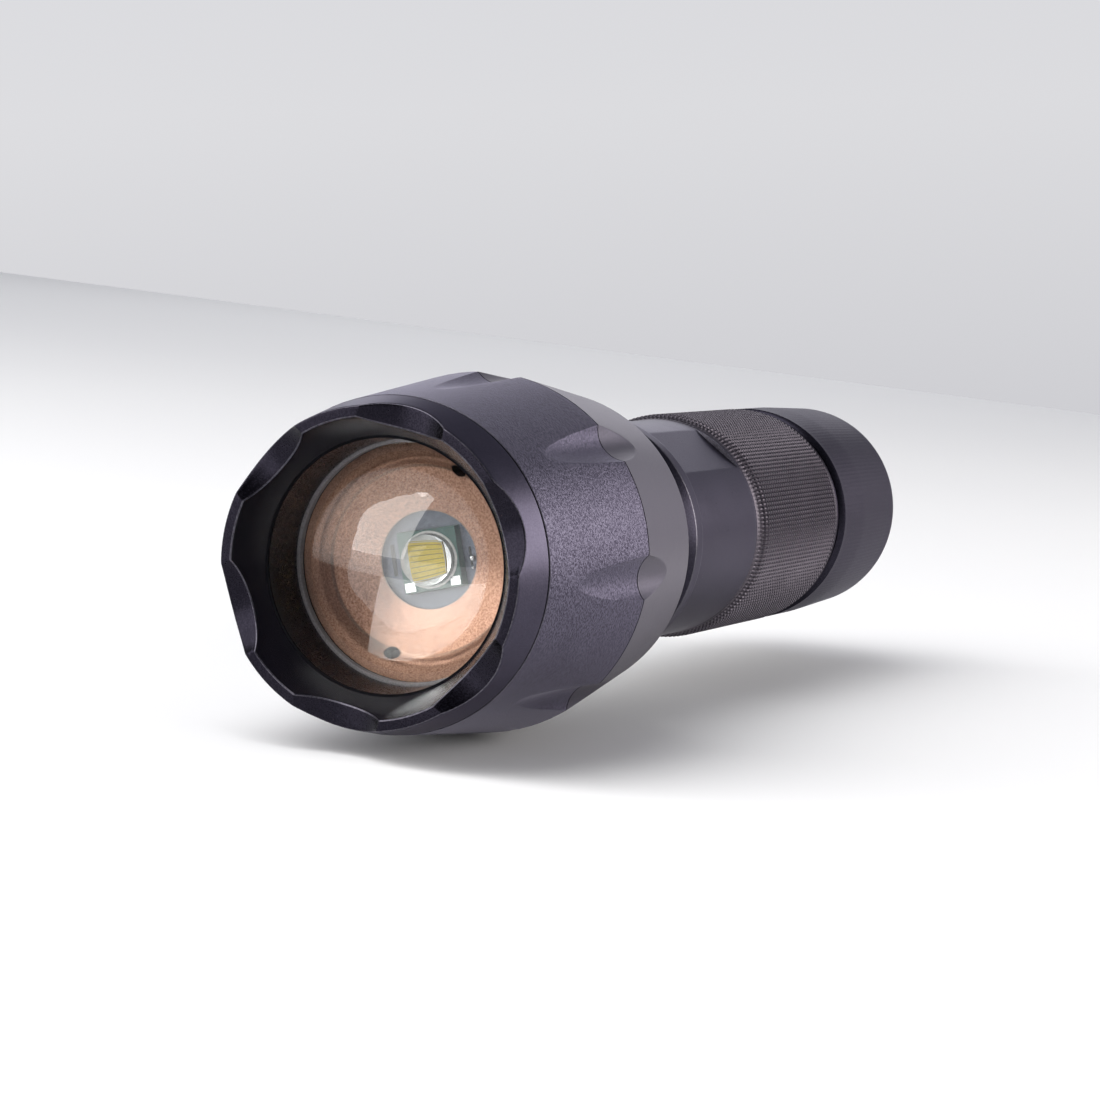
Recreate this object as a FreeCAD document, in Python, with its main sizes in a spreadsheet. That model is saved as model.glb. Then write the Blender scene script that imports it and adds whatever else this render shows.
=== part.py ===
import FreeCAD, Part
import math
import os
from FreeCAD import Placement, Rotation, Vector

# Focusing (zoom) hand torch, lying along Y.  The lens looks towards -Y, the tail
# switch towards +Y, +Z is up.  Every length along the axis is a "station": the
# distance in mm behind the front rim of the closed torch.  The origin is on the
# axis in the middle of the knurled grip band, so y = station - origin_station.

doc = FreeCAD.newDocument("Torch")
sheet = doc.addObject("Spreadsheet::Sheet", "Dims")

TABLE = [
    # frame
    ("origin_station", 103.4, "station of the origin, middle of the grip band"),
    # bezel ring
    ("rim_radius", 16.9, "outer radius of the front rim"),
    ("rim_inner_radius", 15.75, "inner radius of the front rim"),
    ("bezel_joint_station", 5.95, "rear end of the visible bezel cone"),
    ("bezel_joint_radius", 17.85, "outer radius at the bezel joint"),
    ("bezel_step_station", 4.3, "rear end of the flared mouth"),
    ("bezel_step_radius", 13.62, "mouth radius before the inner step"),
    ("bezel_step_inner", 13.42, "bore radius after the inner step"),
    ("bezel_throat_radius", 13.15, "throat in front of the lens"),
    ("bezel_end_station", 10.7, "rear end of the bezel spigot"),
    ("bezel_spigot_radius", 16.6, "threaded spigot of the bezel"),
    ("scallop_radius", 7.1, "radius of the rim scallops"),
    ("scallop_depth", 2.0, "depth of the rim scallops"),
    # head sleeve
    ("head_front_station", 6.05, "front edge of the head sleeve"),
    ("head_front_radius", 17.9, "outer radius at the front edge"),
    ("head_max_station", 30.0, "station of the largest diameter"),
    ("head_max_radius", 20.0, "largest outer radius"),
    ("head_rear_station", 50.2, "rear edge of the head sleeve"),
    ("head_rear_radius", 17.45, "outer radius at the rear edge"),
    ("head_thread_radius", 16.75, "female thread for the bezel"),
    ("head_shoulder_station", 13.9, "shoulder that carries the lens spacer"),
    ("head_bore_radius", 16.0, "bore in which the lamp module slides"),
    ("head_lip_station", 46.2, "front face of the rear lip"),
    ("head_lip_bore", 13.52, "bore of the rear lip on the neck"),
    ("flute_radius", 3.4, "radius of the flute cutter"),
    ("flute_centre", 21.72, "distance of the cutter axis at station 0"),
    # lens group
    ("lens_radius", 14.2, "outer radius of the lens flange"),
    ("lens_dome_radius", 12.7, "radius of the dome at its foot"),
    ("lens_curve", 17.0, "radius of curvature of the dome"),
    ("lens_flange_station", 11.6, "front face of the lens flange"),
    ("lens_rear_station", 13.1, "flat rear face of the lens"),
    ("lens_apex_station", 5.90088, "apex of the dome"),
    ("gasket_inner", 12.76, "inner radius of the lens gasket"),
    ("gasket_front_station", 10.75, "front face of the lens gasket"),
    ("spacer_outer", 16.4, "outer radius of the lens spacer"),
    ("spacer_bore", 14.3, "bore of the spacer around the lens"),
    ("spacer_inner", 13.0, "inner radius of the spacer's seat"),
    ("spacer_front_station", 11.05, "front face of the lens spacer"),
    # lamp module
    ("pill_radius", 15.85, "outer radius of the lamp module flange"),
    ("pill_front_station", 14.3, "front face of the lamp module"),
    ("pill_rear_station", 31.9, "rear face of the flange"),
    ("pill_floor_station", 18.2, "floor that the star board sits on"),
    ("pill_recess_radius", 13.6, "front recess of the module"),
    ("pill_cavity_station", 24.4, "front end of the driver cavity"),
    ("pill_cavity_radius", 10.4, "radius of the driver cavity"),
    ("pill_spigot_radius", 12.15, "threaded spigot of the module"),
    ("pill_end_station", 41.3, "rear end of the spigot"),
    ("seal_groove_radius", 14.0, "bottom of the slide seal grooves"),
    ("seal_groove_width", 2.2, "width of the slide seal grooves"),
    ("seal_a_station", 21.1, "middle of the front slide seal"),
    ("seal_b_station", 27.6, "middle of the rear slide seal"),
    ("seal_section", 0.95, "section radius of the slide seals"),
    ("seal_centre", 15.01, "centre radius of the slide seals"),
    # cover disc round the LED
    ("disc_radius", 13.45, "outer radius of the cover disc"),
    ("disc_hole", 4.05, "radius of the window"),
    ("disc_edge_station", 15.15, "front of the outer edge"),
    ("disc_crest_station", 14.5, "crest of the rolled rim"),
    ("disc_crest_radius", 10.4, "radius of the crest"),
    ("disc_foot_radius", 8.2, "foot of the rolled rim"),
    ("disc_foot_station", 15.35, "station at the foot of the rolled rim"),
    ("disc_hole_station", 15.95, "front edge of the window"),
    ("disc_rear_station", 16.5, "rear face, resting on the star board"),
    ("spanner_hole_radius", 0.7, "radius of the two spanner holes"),
    ("spanner_pitch_radius", 8.7, "distance of the spanner holes from the axis"),
    # LED and star board
    ("star_radius", 8.0, "star board radius"),
    ("star_front_station", 16.55, "front face of the star board"),
    ("star_notch_radius", 1.25, "radius of the edge notches"),
    ("wire_distance", 7.4, "distance of the two wires from the axis"),
    ("led_size", 5.0, "edge of the LED substrate"),
    ("led_front_station", 15.95, "front face of the LED substrate"),
    ("die_size", 2.3, "edge of the LED die"),
    ("die_height", 0.12, "height of the LED die"),
    ("dome_radius", 2.2, "radius of the LED dome"),
    # driver
    ("driver_radius", 10.3, "driver board radius"),
    ("driver_front_station", 39.1, "front face of the driver board"),
    ("driver_rear_station", 40.55, "rear face of the driver board"),
    ("driver_ring_inner", 8.4, "inner radius of the driver ring"),
    # barrel
    ("neck_radius", 13.46, "sliding neck"),
    ("collar_front_station", 57.5, "foot of the collar chamfer"),
    ("collar_edge_station", 60.3, "front edge of the collar"),
    ("collar_rear_station", 62.5, "rear edge of the collar"),
    ("collar_radius", 14.75, "collar radius"),
    ("waist_radius", 13.3, "waist behind the collar"),
    ("waist_rear_station", 86.5, "rear end of the waist"),
    ("grip_front_station", 89.3, "front edge of the knurled grip"),
    ("grip_rear_station", 117.5, "rear edge of the knurled grip"),
    ("grip_radius", 13.95, "grip radius"),
    ("groove_front_station", 118.1, "front of the plain groove"),
    ("groove_rear_station", 120.2, "rear of the plain groove"),
    ("groove_radius", 13.2, "radius of the plain groove"),
    ("pilot_radius", 12.88, "pilot inside the tail cap's mouth"),
    ("ring_groove_station", 120.95, "front of the tail seal groove"),
    ("ring_groove_rear", 122.35, "rear of the tail seal groove"),
    ("ring_groove_radius", 11.72, "bottom of the tail seal groove"),
    ("tail_thread_station", 123.0, "start of the tail thread"),
    ("thread_crest", 12.5, "crest of the tail thread"),
    ("thread_root", 11.95, "root of the tail thread"),
    ("thread_pitch", 1.5, "pitch of the tail thread"),
    ("barrel_end_station", 129.0, "rear end of the barrel"),
    ("barrel_front_station", 32.0, "front end of the barrel"),
    ("barrel_thread_radius", 12.3, "female thread for the lamp module"),
    ("barrel_thread_station", 42.0, "end of that thread"),
    ("barrel_bore_station", 43.6, "start of the battery bore"),
    ("barrel_bore", 10.9, "battery bore"),
    ("flat_distance", 12.8, "distance of the two flats from the axis"),
    ("flat_front_station", 64.6, "front end of the flats"),
    ("flat_rear_station", 86.0, "rear end of the flats"),
    # battery
    ("cell_front_station", 53.2, "front end of the cell"),
    ("cell_rear_station", 118.2, "rear end of the cell"),
    ("cell_radius", 9.05, "cell can radius"),
    ("wrap_radius", 9.22, "outer radius of the cell's wrap"),
    ("sleeve_inner", 9.4, "inner radius of the battery sleeve"),
    ("sleeve_outer", 10.8, "outer radius of the battery sleeve"),
    ("sleeve_front_station", 46.0, "front end of the battery sleeve"),
    ("sleeve_rear_station", 117.0, "rear end of the battery sleeve"),
    # tail cap
    ("cap_front_station", 120.4, "front face of the tail cap"),
    ("cap_radius", 13.9, "largest radius of the tail cap"),
    ("cap_rear_radius", 13.45, "radius before the rear edge"),
    ("cap_rear_station", 145.3, "rear rim of the tail cap"),
    ("cap_mouth", 12.95, "mouth bore over the tail seal"),
    ("cap_mouth_station", 122.7, "end of the mouth bore"),
    ("cap_thread_bore", 12.6, "bore of the female thread"),
    ("cap_shoulder_station", 129.1, "shoulder against the barrel's end"),
    ("cap_switch_bore", 11.2, "bore for the switch group"),
    ("cap_lip_station", 139.2, "front face of the lip"),
    ("cap_lip_radius", 7.5, "hole in the lip"),
    ("cap_recess_station", 140.6, "floor of the thumb recess"),
    ("cap_recess_radius", 8.9, "radius of the thumb recess"),
    ("lanyard_station", 142.9, "station of the lanyard hole"),
    ("lanyard_radius", 1.15, "radius of the lanyard hole"),
    ("tail_seal_section", 0.56, "section radius of the tail seal"),
    ("tail_seal_centre", 12.34, "centre radius of the tail seal"),
    # switch group
    ("ring_front_station", 129.3, "front face of the switch ring"),
    ("ring_rear_station", 130.75, "rear face of the switch ring"),
    ("ring_outer", 11.12, "outer radius of the switch ring"),
    ("ring_inner", 7.2, "inner radius of the switch ring"),
    ("board_rear_station", 132.2, "rear face of the switch board"),
    ("board_radius", 10.9, "radius of the switch board"),
    ("switch_side", 12.4, "side of the square switch housing"),
    ("switch_top_station", 137.4, "rear face of the switch housing"),
    ("switch_cover_station", 138.15, "rear face of the housing's cover"),
    ("switch_floor_station", 133.4, "floor of the plunger's cavity"),
    ("switch_cavity_radius", 3.3, "radius of the plunger's cavity"),
    ("plunger_flange_radius", 3.22, "flange of the plunger"),
    ("plunger_flange_station", 136.2, "front face of the plunger's flange"),
    ("plunger_radius", 2.4, "stem of the plunger"),
    ("plunger_end_station", 139.3, "rear end of the plunger"),
    ("cover_hole_radius", 2.46, "hole in the cover"),
    ("boot_flange_radius", 10.95, "flange of the boot"),
    ("boot_flange_station", 138.25, "front face of the boot's flange"),
    ("boot_radius", 7.25, "wall of the boot"),
    ("boot_inner", 6.1, "inner wall of the boot"),
    ("boot_top_station", 144.75, "crown of the boot"),
    ("boot_ceiling_station", 143.55, "inside of the crown"),
    ("insert_radius", 5.7, "radius of the button insert"),
    ("insert_front_station", 140.1, "front face of the button insert"),
    ("insert_rear_station", 143.45, "rear face of the button insert"),
]
P = {}
for row, (alias, value, words) in enumerate(TABLE, start=1):
    sheet.set("A%d" % row, alias)
    sheet.set("B%d" % row, "%.6g" % value)
    sheet.set("C%d" % row, words)
    sheet.setAlias("B%d" % row, alias)
    P[alias] = value
doc.recompute()

PARTS = []


def dim(*terms):
    """A length made of sheet cells and plain steps: its value now and its expression."""
    value, text = 0.0, ""
    for term in terms:
        if isinstance(term, str):
            minus = term.startswith("-")
            name = term.lstrip("+-")
            value += -P[name] if minus else P[name]
            text += ("-" if minus else "+") + "Dims." + name
        else:
            value += term
            text += "%+.6g" % term
    return value, text.lstrip("+")


def as_dim(item):
    return dim(*item) if isinstance(item, tuple) else dim(item)


def origin_part(body, role):
    for feature in body.Origin.OriginFeatures:
        if feature.Role == role:
            return feature
    raise RuntimeError("no " + role)


def place(obj, x=0.0, station=0.0, z=0.0, rotation=None):
    obj.Placement = Placement(Vector(x, station - P["origin_station"], z), rotation or Rotation())


def new_body(name):
    body = doc.addObject("PartDesign::Body", name)
    body.Label = name
    body.Placement = Placement(Vector(0, -P["origin_station"], 0), Rotation())
    body.setExpression("Placement.Base.y", "-Dims.origin_station")
    PARTS.append(body)
    return body


def bind(sketch, kind, refs, item):
    """Add one dimension and drive it from the sheet."""
    import Sketcher
    value, text = as_dim(item)
    index = sketch.addConstraint(Sketcher.Constraint(kind, *refs, value))
    name = "d%d" % index
    sketch.renameConstraint(index, name)
    sketch.setExpression("Constraints." + name, text)


def pin_point(sketch, geo, pos, x, y):
    """Hold a point at x, y from the sketch's origin; zero means on the axis, a
    negative distance is measured the other way round."""
    import Sketcher
    for kind, item, axis in (("DistanceX", x, -2), ("DistanceY", y, -1)):
        value = as_dim(item)[0]
        if abs(value) < 1e-9:
            sketch.addConstraint(Sketcher.Constraint("PointOnObject", geo, pos, axis))
        elif value > 0:
            bind(sketch, kind, (-1, 1, geo, pos), item)
        else:
            flipped = item if isinstance(item, tuple) else (item,)
            back = tuple(
                (t[1:] if t.startswith("-") else "-" + t.lstrip("+")) if isinstance(t, str) else -t
                for t in flipped
            )
            bind(sketch, kind, (geo, pos, -1, 1), back)


def new_sketch(body, name, plane="YZ_Plane", turn=0.0, offset=None):
    """A sketch on an origin plane of its own body.  On YZ its x is the station and
    its y is the height; turn swings it about the torch's axis, from +Z to +X."""
    sketch = body.newObject("Sketcher::SketchObject", name)
    sketch.AttachmentSupport = [(origin_part(body, plane), "")]
    sketch.MapMode = "FlatFace"
    if offset is not None:
        sketch.AttachmentOffset = offset
    elif turn:
        sketch.AttachmentOffset = Placement(Vector(0, 0, 0), Rotation(Vector(1, 0, 0), turn))
    return sketch


def closed_profile(sketch, points):
    """A closed outline.  Each point is (station, radius) or (station, radius,
    curve, side): the curve is the radius of an arc to the next point, side +1 puts
    its centre to the left of the way to go and -1 to the right."""
    import Sketcher
    xy = [Vector(as_dim(p[0])[0], as_dim(p[1])[0], 0) for p in points]
    ends = []
    for i, point in enumerate(points):
        a, b = xy[i], xy[(i + 1) % len(points)]
        if len(point) == 2:
            geo = sketch.addGeometry(Part.LineSegment(a, b), False)
            ends.append((geo, 1, 2))
            continue
        radius, side = as_dim(point[2])[0], point[3]
        mid, way = (a + b) * 0.5, b - a
        left = Vector(-way.y, way.x, 0).normalize()
        rise = math.sqrt(max(radius * radius - way.Length ** 2 / 4.0, 0.0))
        centre = mid + left * (rise * side)
        start = math.atan2(a.y - centre.y, a.x - centre.x)
        end = math.atan2(b.y - centre.y, b.x - centre.x)
        circle = Part.Circle(centre, Vector(0, 0, 1), radius)
        if side > 0:
            geo = sketch.addGeometry(Part.ArcOfCircle(circle, start, end), False)
            ends.append((geo, 1, 2))
        else:
            geo = sketch.addGeometry(Part.ArcOfCircle(circle, end, start), False)
            ends.append((geo, 2, 1))
    for i, (geo, _, tail) in enumerate(ends):
        after, head, _ = ends[(i + 1) % len(ends)]
        sketch.addConstraint(Sketcher.Constraint("Coincident", geo, tail, after, head))
    for point, (geo, head, _) in zip(points, ends):
        if len(point) > 4:
            # a dome: it starts on the axis and its centre is on the axis too, so
            # the radius and the foot alone place the crown
            sketch.addConstraint(Sketcher.Constraint("PointOnObject", geo, head, -1))
            sketch.addConstraint(Sketcher.Constraint("PointOnObject", geo, 3, -1))
            bind(sketch, "Radius", (geo,), point[2])
            continue
        pin_point(sketch, geo, head, point[0], point[1])
        if len(point) > 2:
            bind(sketch, "Radius", (geo,), point[2])


def circle_in(sketch, x, y, radius):
    geo = sketch.addGeometry(
        Part.Circle(Vector(as_dim(x)[0], as_dim(y)[0], 0), Vector(0, 0, 1), as_dim(radius)[0]), False)
    pin_point(sketch, geo, 3, x, y)
    bind(sketch, "Radius", (geo,), radius)
    return geo


def revolve(body, name, points, kind="Revolution"):
    sketch = new_sketch(body, name + "_profile")
    closed_profile(sketch, points)
    feature = body.newObject("PartDesign::" + kind, name + "_" + kind.lower())
    feature.Profile = sketch
    feature.ReferenceAxis = (sketch, ["H_Axis"])
    feature.Angle = 360.0
    sketch.Visibility = False
    return feature


def turned(name, *profiles):
    """A turned piece: one outline revolved about the axis."""
    body = new_body(name)
    for n, points in enumerate(profiles):
        revolve(body, name if n == 0 else "%s_%d" % (name, n), points)
    doc.recompute()
    return body


def washer(name, front, rear, inner, outer):
    return turned(name, [(front, inner), (rear, inner), (rear, outer), (front, outer)])


def pocket(body, sketch, name, both=False, away=False, length=None):
    before = body.Shape.Volume
    feature = body.newObject("PartDesign::Pocket", name)
    feature.Profile = sketch
    feature.Reversed = away
    if length is None:
        feature.Type = "ThroughAll"
    else:
        feature.Type = "Length"
        feature.Length = length
    if both:
        if "SideType" in feature.PropertiesList:
            feature.SideType = "Symmetric"
        else:
            feature.Midplane = True
    sketch.Visibility = False
    doc.recompute()
    if not body.Shape.Volume < before - 1e-6:
        raise RuntimeError(name + " cuts nothing")
    return feature


def around(body, feature, name, count):
    """Repeat a cut about the torch's axis."""
    before = body.Shape.Volume
    pattern = body.newObject("PartDesign::PolarPattern", name)
    pattern.Originals = [feature]
    pattern.Axis = (origin_part(body, "Y_Axis"), [""])
    pattern.Angle = 360.0
    pattern.Occurrences = count
    body.Tip = pattern
    doc.recompute()
    if not body.Shape.Volume < before - 1e-6:
        raise RuntimeError(name + " repeats nothing")
    return pattern


def single(name, shape):
    """A piece whose shape is built from curves that no feature makes."""
    obj = doc.addObject("Part::Feature", name)
    obj.Label = name
    obj.Shape = shape
    place(obj)
    PARTS.append(obj)
    return obj


# ---------------------------------------------------------------- head group

# The bezel: a short cone with a funnel inside, a spigot that screws into the head
# sleeve, and six scallops across the rim.
bezel = new_body("bezel_ring")
revolve(bezel, "bezel", [
    (0.0, "rim_inner_radius"),
    ("bezel_step_station", "bezel_step_radius"),
    ("bezel_step_station", "bezel_step_inner"),
    (("bezel_end_station", -0.5), "bezel_throat_radius"),
    ("bezel_end_station", "bezel_throat_radius"),
    ("bezel_end_station", "bezel_spigot_radius"),
    (8.55, "bezel_spigot_radius"),
    (8.55, 15.55),
    (6.95, 15.55),
    (6.95, "bezel_spigot_radius"),
    ("bezel_joint_station", "bezel_spigot_radius"),
    ("bezel_joint_station", ("bezel_joint_radius", -0.12)),
    (("bezel_joint_station", -0.12), "bezel_joint_radius"),
    (0.25, ("rim_radius", 0.04)),
    (0.0, ("rim_radius", -0.2)),
])
doc.recompute()
scallop = new_sketch(bezel, "scallop_sketch", turn=-23.0)
circle_in(scallop, ("scallop_depth", "-scallop_radius"), 0.0, "scallop_radius")
around(bezel, pocket(bezel, scallop, "scallop_cut"), "scallops", 6)

# The seal in the groove of the bezel's spigot.
bezel_seal = new_body("bezel_seal")
seal_sketch = new_sketch(bezel_seal, "bezel_seal_sketch")
circle_in(seal_sketch, 7.75, 16.12, 0.55)
seal_turn = bezel_seal.newObject("PartDesign::Revolution", "bezel_seal_turn")
seal_turn.Profile = seal_sketch
seal_turn.ReferenceAxis = (seal_sketch, ["H_Axis"])
seal_turn.Angle = 360.0

# The head sleeve: two cones that meet in a sharp edge, a stepped bore, a rear lip
# that runs on the neck, and eight long flutes that fade out at both ends.
head = new_body("head_sleeve")
revolve(head, "head", [
    ("head_front_station", "head_thread_radius"),
    ("head_shoulder_station", "head_thread_radius"),
    ("head_shoulder_station", "head_bore_radius"),
    ("head_lip_station", "head_bore_radius"),
    ("head_lip_station", "head_lip_bore"),
    (("head_rear_station", -0.6), "head_lip_bore"),
    ("head_rear_station", ("head_lip_bore", 0.6)),
    ("head_rear_station", ("head_rear_radius", -0.35)),
    (("head_rear_station", -0.35), "head_rear_radius"),
    ("head_max_station", "head_max_radius"),
    (("head_front_station", 0.12), "head_front_radius"),
    ("head_front_station", ("head_front_radius", -0.12)),
])
doc.recompute()
flute_way = Rotation(Vector(1, 0, 0), 0.8)
flute = new_sketch(head, "flute_sketch", "XZ_Plane", offset=Placement(Vector(0, 0, 0), flute_way))
circle_in(flute, 0.0, "flute_centre", "flute_radius")
around(head, pocket(head, flute, "flute_cut"), "flutes", 8)

# The lens: flat behind, strongly curved in front, with a flange round its foot.
turned("lens", [
    ("lens_apex_station", 0.0, "lens_curve", -1, "dome"),
    ("lens_flange_station", "lens_dome_radius"),
    ("lens_flange_station", "lens_radius"),
    ("lens_rear_station", "lens_radius"),
    ("lens_rear_station", 0.0),
])
washer("lens_gasket", "gasket_front_station", "lens_flange_station", "gasket_inner", "lens_radius")
turned("lens_spacer", [
    ("spacer_front_station", "spacer_bore"),
    ("lens_rear_station", "spacer_bore"),
    ("lens_rear_station", "spacer_inner"),
    ("head_shoulder_station", "spacer_inner"),
    ("head_shoulder_station", "spacer_outer"),
    ("spacer_front_station", "spacer_outer"),
])

# ---------------------------------------------------------------- slide seals


def ring_seal(name, station, centre, section):
    body = new_body(name)
    sketch = new_sketch(body, name + "_sketch")
    circle_in(sketch, station, centre, section)
    turn = body.newObject("PartDesign::Revolution", name + "_turn")
    turn.Profile = sketch
    turn.ReferenceAxis = (sketch, ["H_Axis"])
    turn.Angle = 360.0
    return body


ring_seal("slide_seal_front", "seal_a_station", "seal_centre", "seal_section")
ring_seal("slide_seal_rear", "seal_b_station", "seal_centre", "seal_section")

# ---------------------------------------------------------------- lamp module

# The module carries the LED in front and the driver behind.  Its flange slides in
# the head's bore on two seals; its spigot screws into the barrel.
pill = new_body("lamp_module")
half = 1.1
revolve(pill, "pill", [
    ("pill_front_station", "pill_recess_radius"),
    ("pill_floor_station", "pill_recess_radius"),
    ("pill_floor_station", 0.0),
    ("pill_cavity_station", 0.0),
    ("pill_cavity_station", "pill_cavity_radius"),
    ("pill_end_station", "pill_cavity_radius"),
    ("pill_end_station", ("pill_spigot_radius", -0.4)),
    (("pill_end_station", -0.4), "pill_spigot_radius"),
    ("pill_rear_station", "pill_spigot_radius"),
    ("pill_rear_station", "pill_radius"),
    (("seal_b_station", half), "pill_radius"),
    (("seal_b_station", half), "seal_groove_radius"),
    (("seal_b_station", -half), "seal_groove_radius"),
    (("seal_b_station", -half), "pill_radius"),
    (("seal_a_station", half), "pill_radius"),
    (("seal_a_station", half), "seal_groove_radius"),
    (("seal_a_station", -half), "seal_groove_radius"),
    (("seal_a_station", -half), "pill_radius"),
    (("pill_front_station", 0.4), "pill_radius"),
    ("pill_front_station", ("pill_radius", -0.4)),
])
doc.recompute()
wire_holes = new_sketch(pill, "wire_hole_sketch", "XZ_Plane")
circle_in(wire_holes, "wire_distance", 0.0, 0.85)
circle_in(wire_holes, "-wire_distance", 0.0, 0.85)
pocket(pill, wire_holes, "wire_holes")

# The cover disc: a shallow dish with a rolled rim, a window for the LED and two
# blind spanner holes.
disc = new_body("led_cover_disc")
revolve(disc, "disc", [
    ("disc_hole_station", "disc_hole"),
    ("disc_rear_station", ("disc_hole", 0.25)),
    ("disc_rear_station", 12.6),
    (17.9, 12.6),
    (17.9, "disc_radius"),
    ("disc_edge_station", "disc_radius"),
    ("disc_crest_station", ("disc_crest_radius", 1.2)),
    ("disc_crest_station", ("disc_crest_radius", -0.6)),
    ("disc_foot_station", "disc_foot_radius"),
])
doc.recompute()
# the two holes stand 14 degrees from the vertical
spanner = new_sketch(disc, "spanner_sketch", "XZ_Plane", offset=Placement(Vector(0, 0, 0), Rotation(Vector(0, 0, 1), -14.0)))
circle_in(spanner, 0.0, "spanner_pitch_radius", "spanner_hole_radius")
circle_in(spanner, 0.0, "-spanner_pitch_radius", "spanner_hole_radius")
pocket(disc, spanner, "spanner_holes")

# Star board: a round metal-core board with six edge notches.
star = new_body("star_board")
revolve(star, "star", [
    ("star_front_station", 0.0), ("pill_floor_station", 0.0),
    ("pill_floor_station", "star_radius"), ("star_front_station", "star_radius")])
doc.recompute()
notch = new_sketch(star, "notch_sketch", "XZ_Plane", offset=Placement(Vector(0, 0, 0), Rotation(Vector(0, 0, 1), -90.0)))
circle_in(notch, 0.0, 7.9, "star_notch_radius")
around(star, pocket(star, notch, "notch_cut"), "notches", 6)

# The LED turns sixteen degrees about the axis against the board.
LED_TURN = Rotation(Vector(0, 1, 0), -16.0)


def led_box(name, width, depth, height, station, x=0.0, z=0.0, keep=True):
    """A flat block facing forward; x and z are its centre in the LED's own axes."""
    box = doc.addObject("Part::Box", name)
    box.Label = name
    for prop, item in (("Length", width), ("Width", depth), ("Height", height)):
        value, text = as_dim(item)
        setattr(box, prop, value)
        if not isinstance(item, float):
            box.setExpression(prop, text)
    w, d, hgt = as_dim(width)[0], as_dim(depth)[0], as_dim(height)[0]
    corner = LED_TURN.multVec(Vector(x - w / 2.0, 0, z - hgt / 2.0))
    box.Placement = Placement(
        Vector(corner.x, as_dim(station)[0] - P["origin_station"], corner.z), LED_TURN)
    if keep:
        PARTS.append(box)
    return box


led_box("led_substrate", "led_size", ("star_front_station", "-led_front_station"), "led_size",
        "led_front_station")
led_box("led_die", "die_size", "die_height", "die_size", ("led_front_station", "-die_height"))
pads = doc.addObject("Part::Compound", "led_pads")
pads.Label = "led_pads"
pads.Links = [
    led_box("pad_a", 0.85, 0.06, 0.75, ("led_front_station", -0.06), -1.97, -2.02, keep=False),
    led_box("pad_b", 0.85, 0.06, 0.75, ("led_front_station", -0.06), 1.97, -2.02, keep=False),
]
PARTS.append(pads)

# Clear silicone dome with a shallow pocket over the die.
dome_body = new_body("led_dome")
revolve(dome_body, "dome", [
    (("led_front_station", "-dome_radius", 0.001), 0.0, ("dome_radius", 0.001), -1, "dome"),
    ("led_front_station", "dome_radius"),
    ("led_front_station", 1.68),
    (("led_front_station", -0.14), 1.68),
    (("led_front_station", -0.14), 0.0),
])
doc.recompute()

# Two insulated wires run straight back from notches of the star board, through the
# module's floor, to the driver.
for wire_name, side in (("led_wire_positive", 1), ("led_wire_negative", -1)):
    wire = doc.addObject("Part::Cylinder", wire_name)
    wire.Label = wire_name
    wire.Radius = 0.55
    wire.Height = 22.2
    wire.setExpression("Height", "Dims.driver_front_station-Dims.star_front_station-0.35")
    wire.Placement = Placement(
        Vector(P["wire_distance"] * side, P["star_front_station"] + 0.15 - P["origin_station"], 0),
        Rotation(Vector(1, 0, 0), -90))
    PARTS.append(wire)

# Driver: board, two components, contact spring and the ring that holds the board.
turned("driver_board", [
    ("driver_front_station", 0.0), ("driver_rear_station", 0.0),
    ("driver_rear_station", "driver_radius"), ("driver_front_station", "driver_radius")])
washer("driver_ring", ("driver_rear_station", 0.02), "pill_end_station", "driver_ring_inner", ("driver_radius", -0.02))


def block(name, x, z, width, height, front, rear):
    box = doc.addObject("Part::Box", name)
    box.Label = name
    box.Length, box.Height = width, height
    value, text = dim(rear, "-" + front) if isinstance(rear, str) and isinstance(front, str) else (as_dim(rear)[0] - as_dim(front)[0], None)
    box.Width = value
    if text:
        box.setExpression("Width", text)
    box.Placement = Placement(
        Vector(x - width / 2.0, as_dim(front)[0] - P["origin_station"], z - height / 2.0), Rotation())
    PARTS.append(box)
    return box


block("driver_chip", 0.0, 3.4, 5.0, 4.0, ("driver_front_station", -1.6), "driver_front_station")
coil = doc.addObject("Part::Cylinder", "driver_inductor")
coil.Label = "driver_inductor"
coil.Radius, coil.Height = 2.4, 3.6
coil.Placement = Placement(
    Vector(0.0, P["driver_front_station"] - 3.6 - P["origin_station"], -4.0), Rotation(Vector(1, 0, 0), -90))
PARTS.append(coil)


def spring(front, rear, turns, radius_a, radius_b, wire_radius):
    """A compression spring along the axis: closed end rings joined by a helix,
    narrowing from radius_a in front to radius_b behind."""
    low, high = front + wire_radius, rear - wire_radius
    steps = int(turns * 12)
    points = []
    for i in range(steps + 1):
        f = i / float(steps)
        turn = 2 * math.pi * turns * f
        r = radius_a + (radius_b - radius_a) * f
        points.append(Vector(r * math.sin(turn), low + (high - low) * f, r * math.cos(turn)))
    curve = Part.BSplineCurve()
    curve.interpolate(points)
    path = Part.Wire([curve.toShape()])
    way = curve.tangent(curve.FirstParameter)[0]
    section = Part.Wire([Part.Circle(points[0], way, wire_radius).toShape()])
    return path.makePipeShell([section], True, True)


single("driver_spring", spring(P["driver_rear_station"] + 0.05, P["cell_front_station"] - 1.05, 5, 4.2, 2.2, 0.4))

# ---------------------------------------------------------------- barrel

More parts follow.
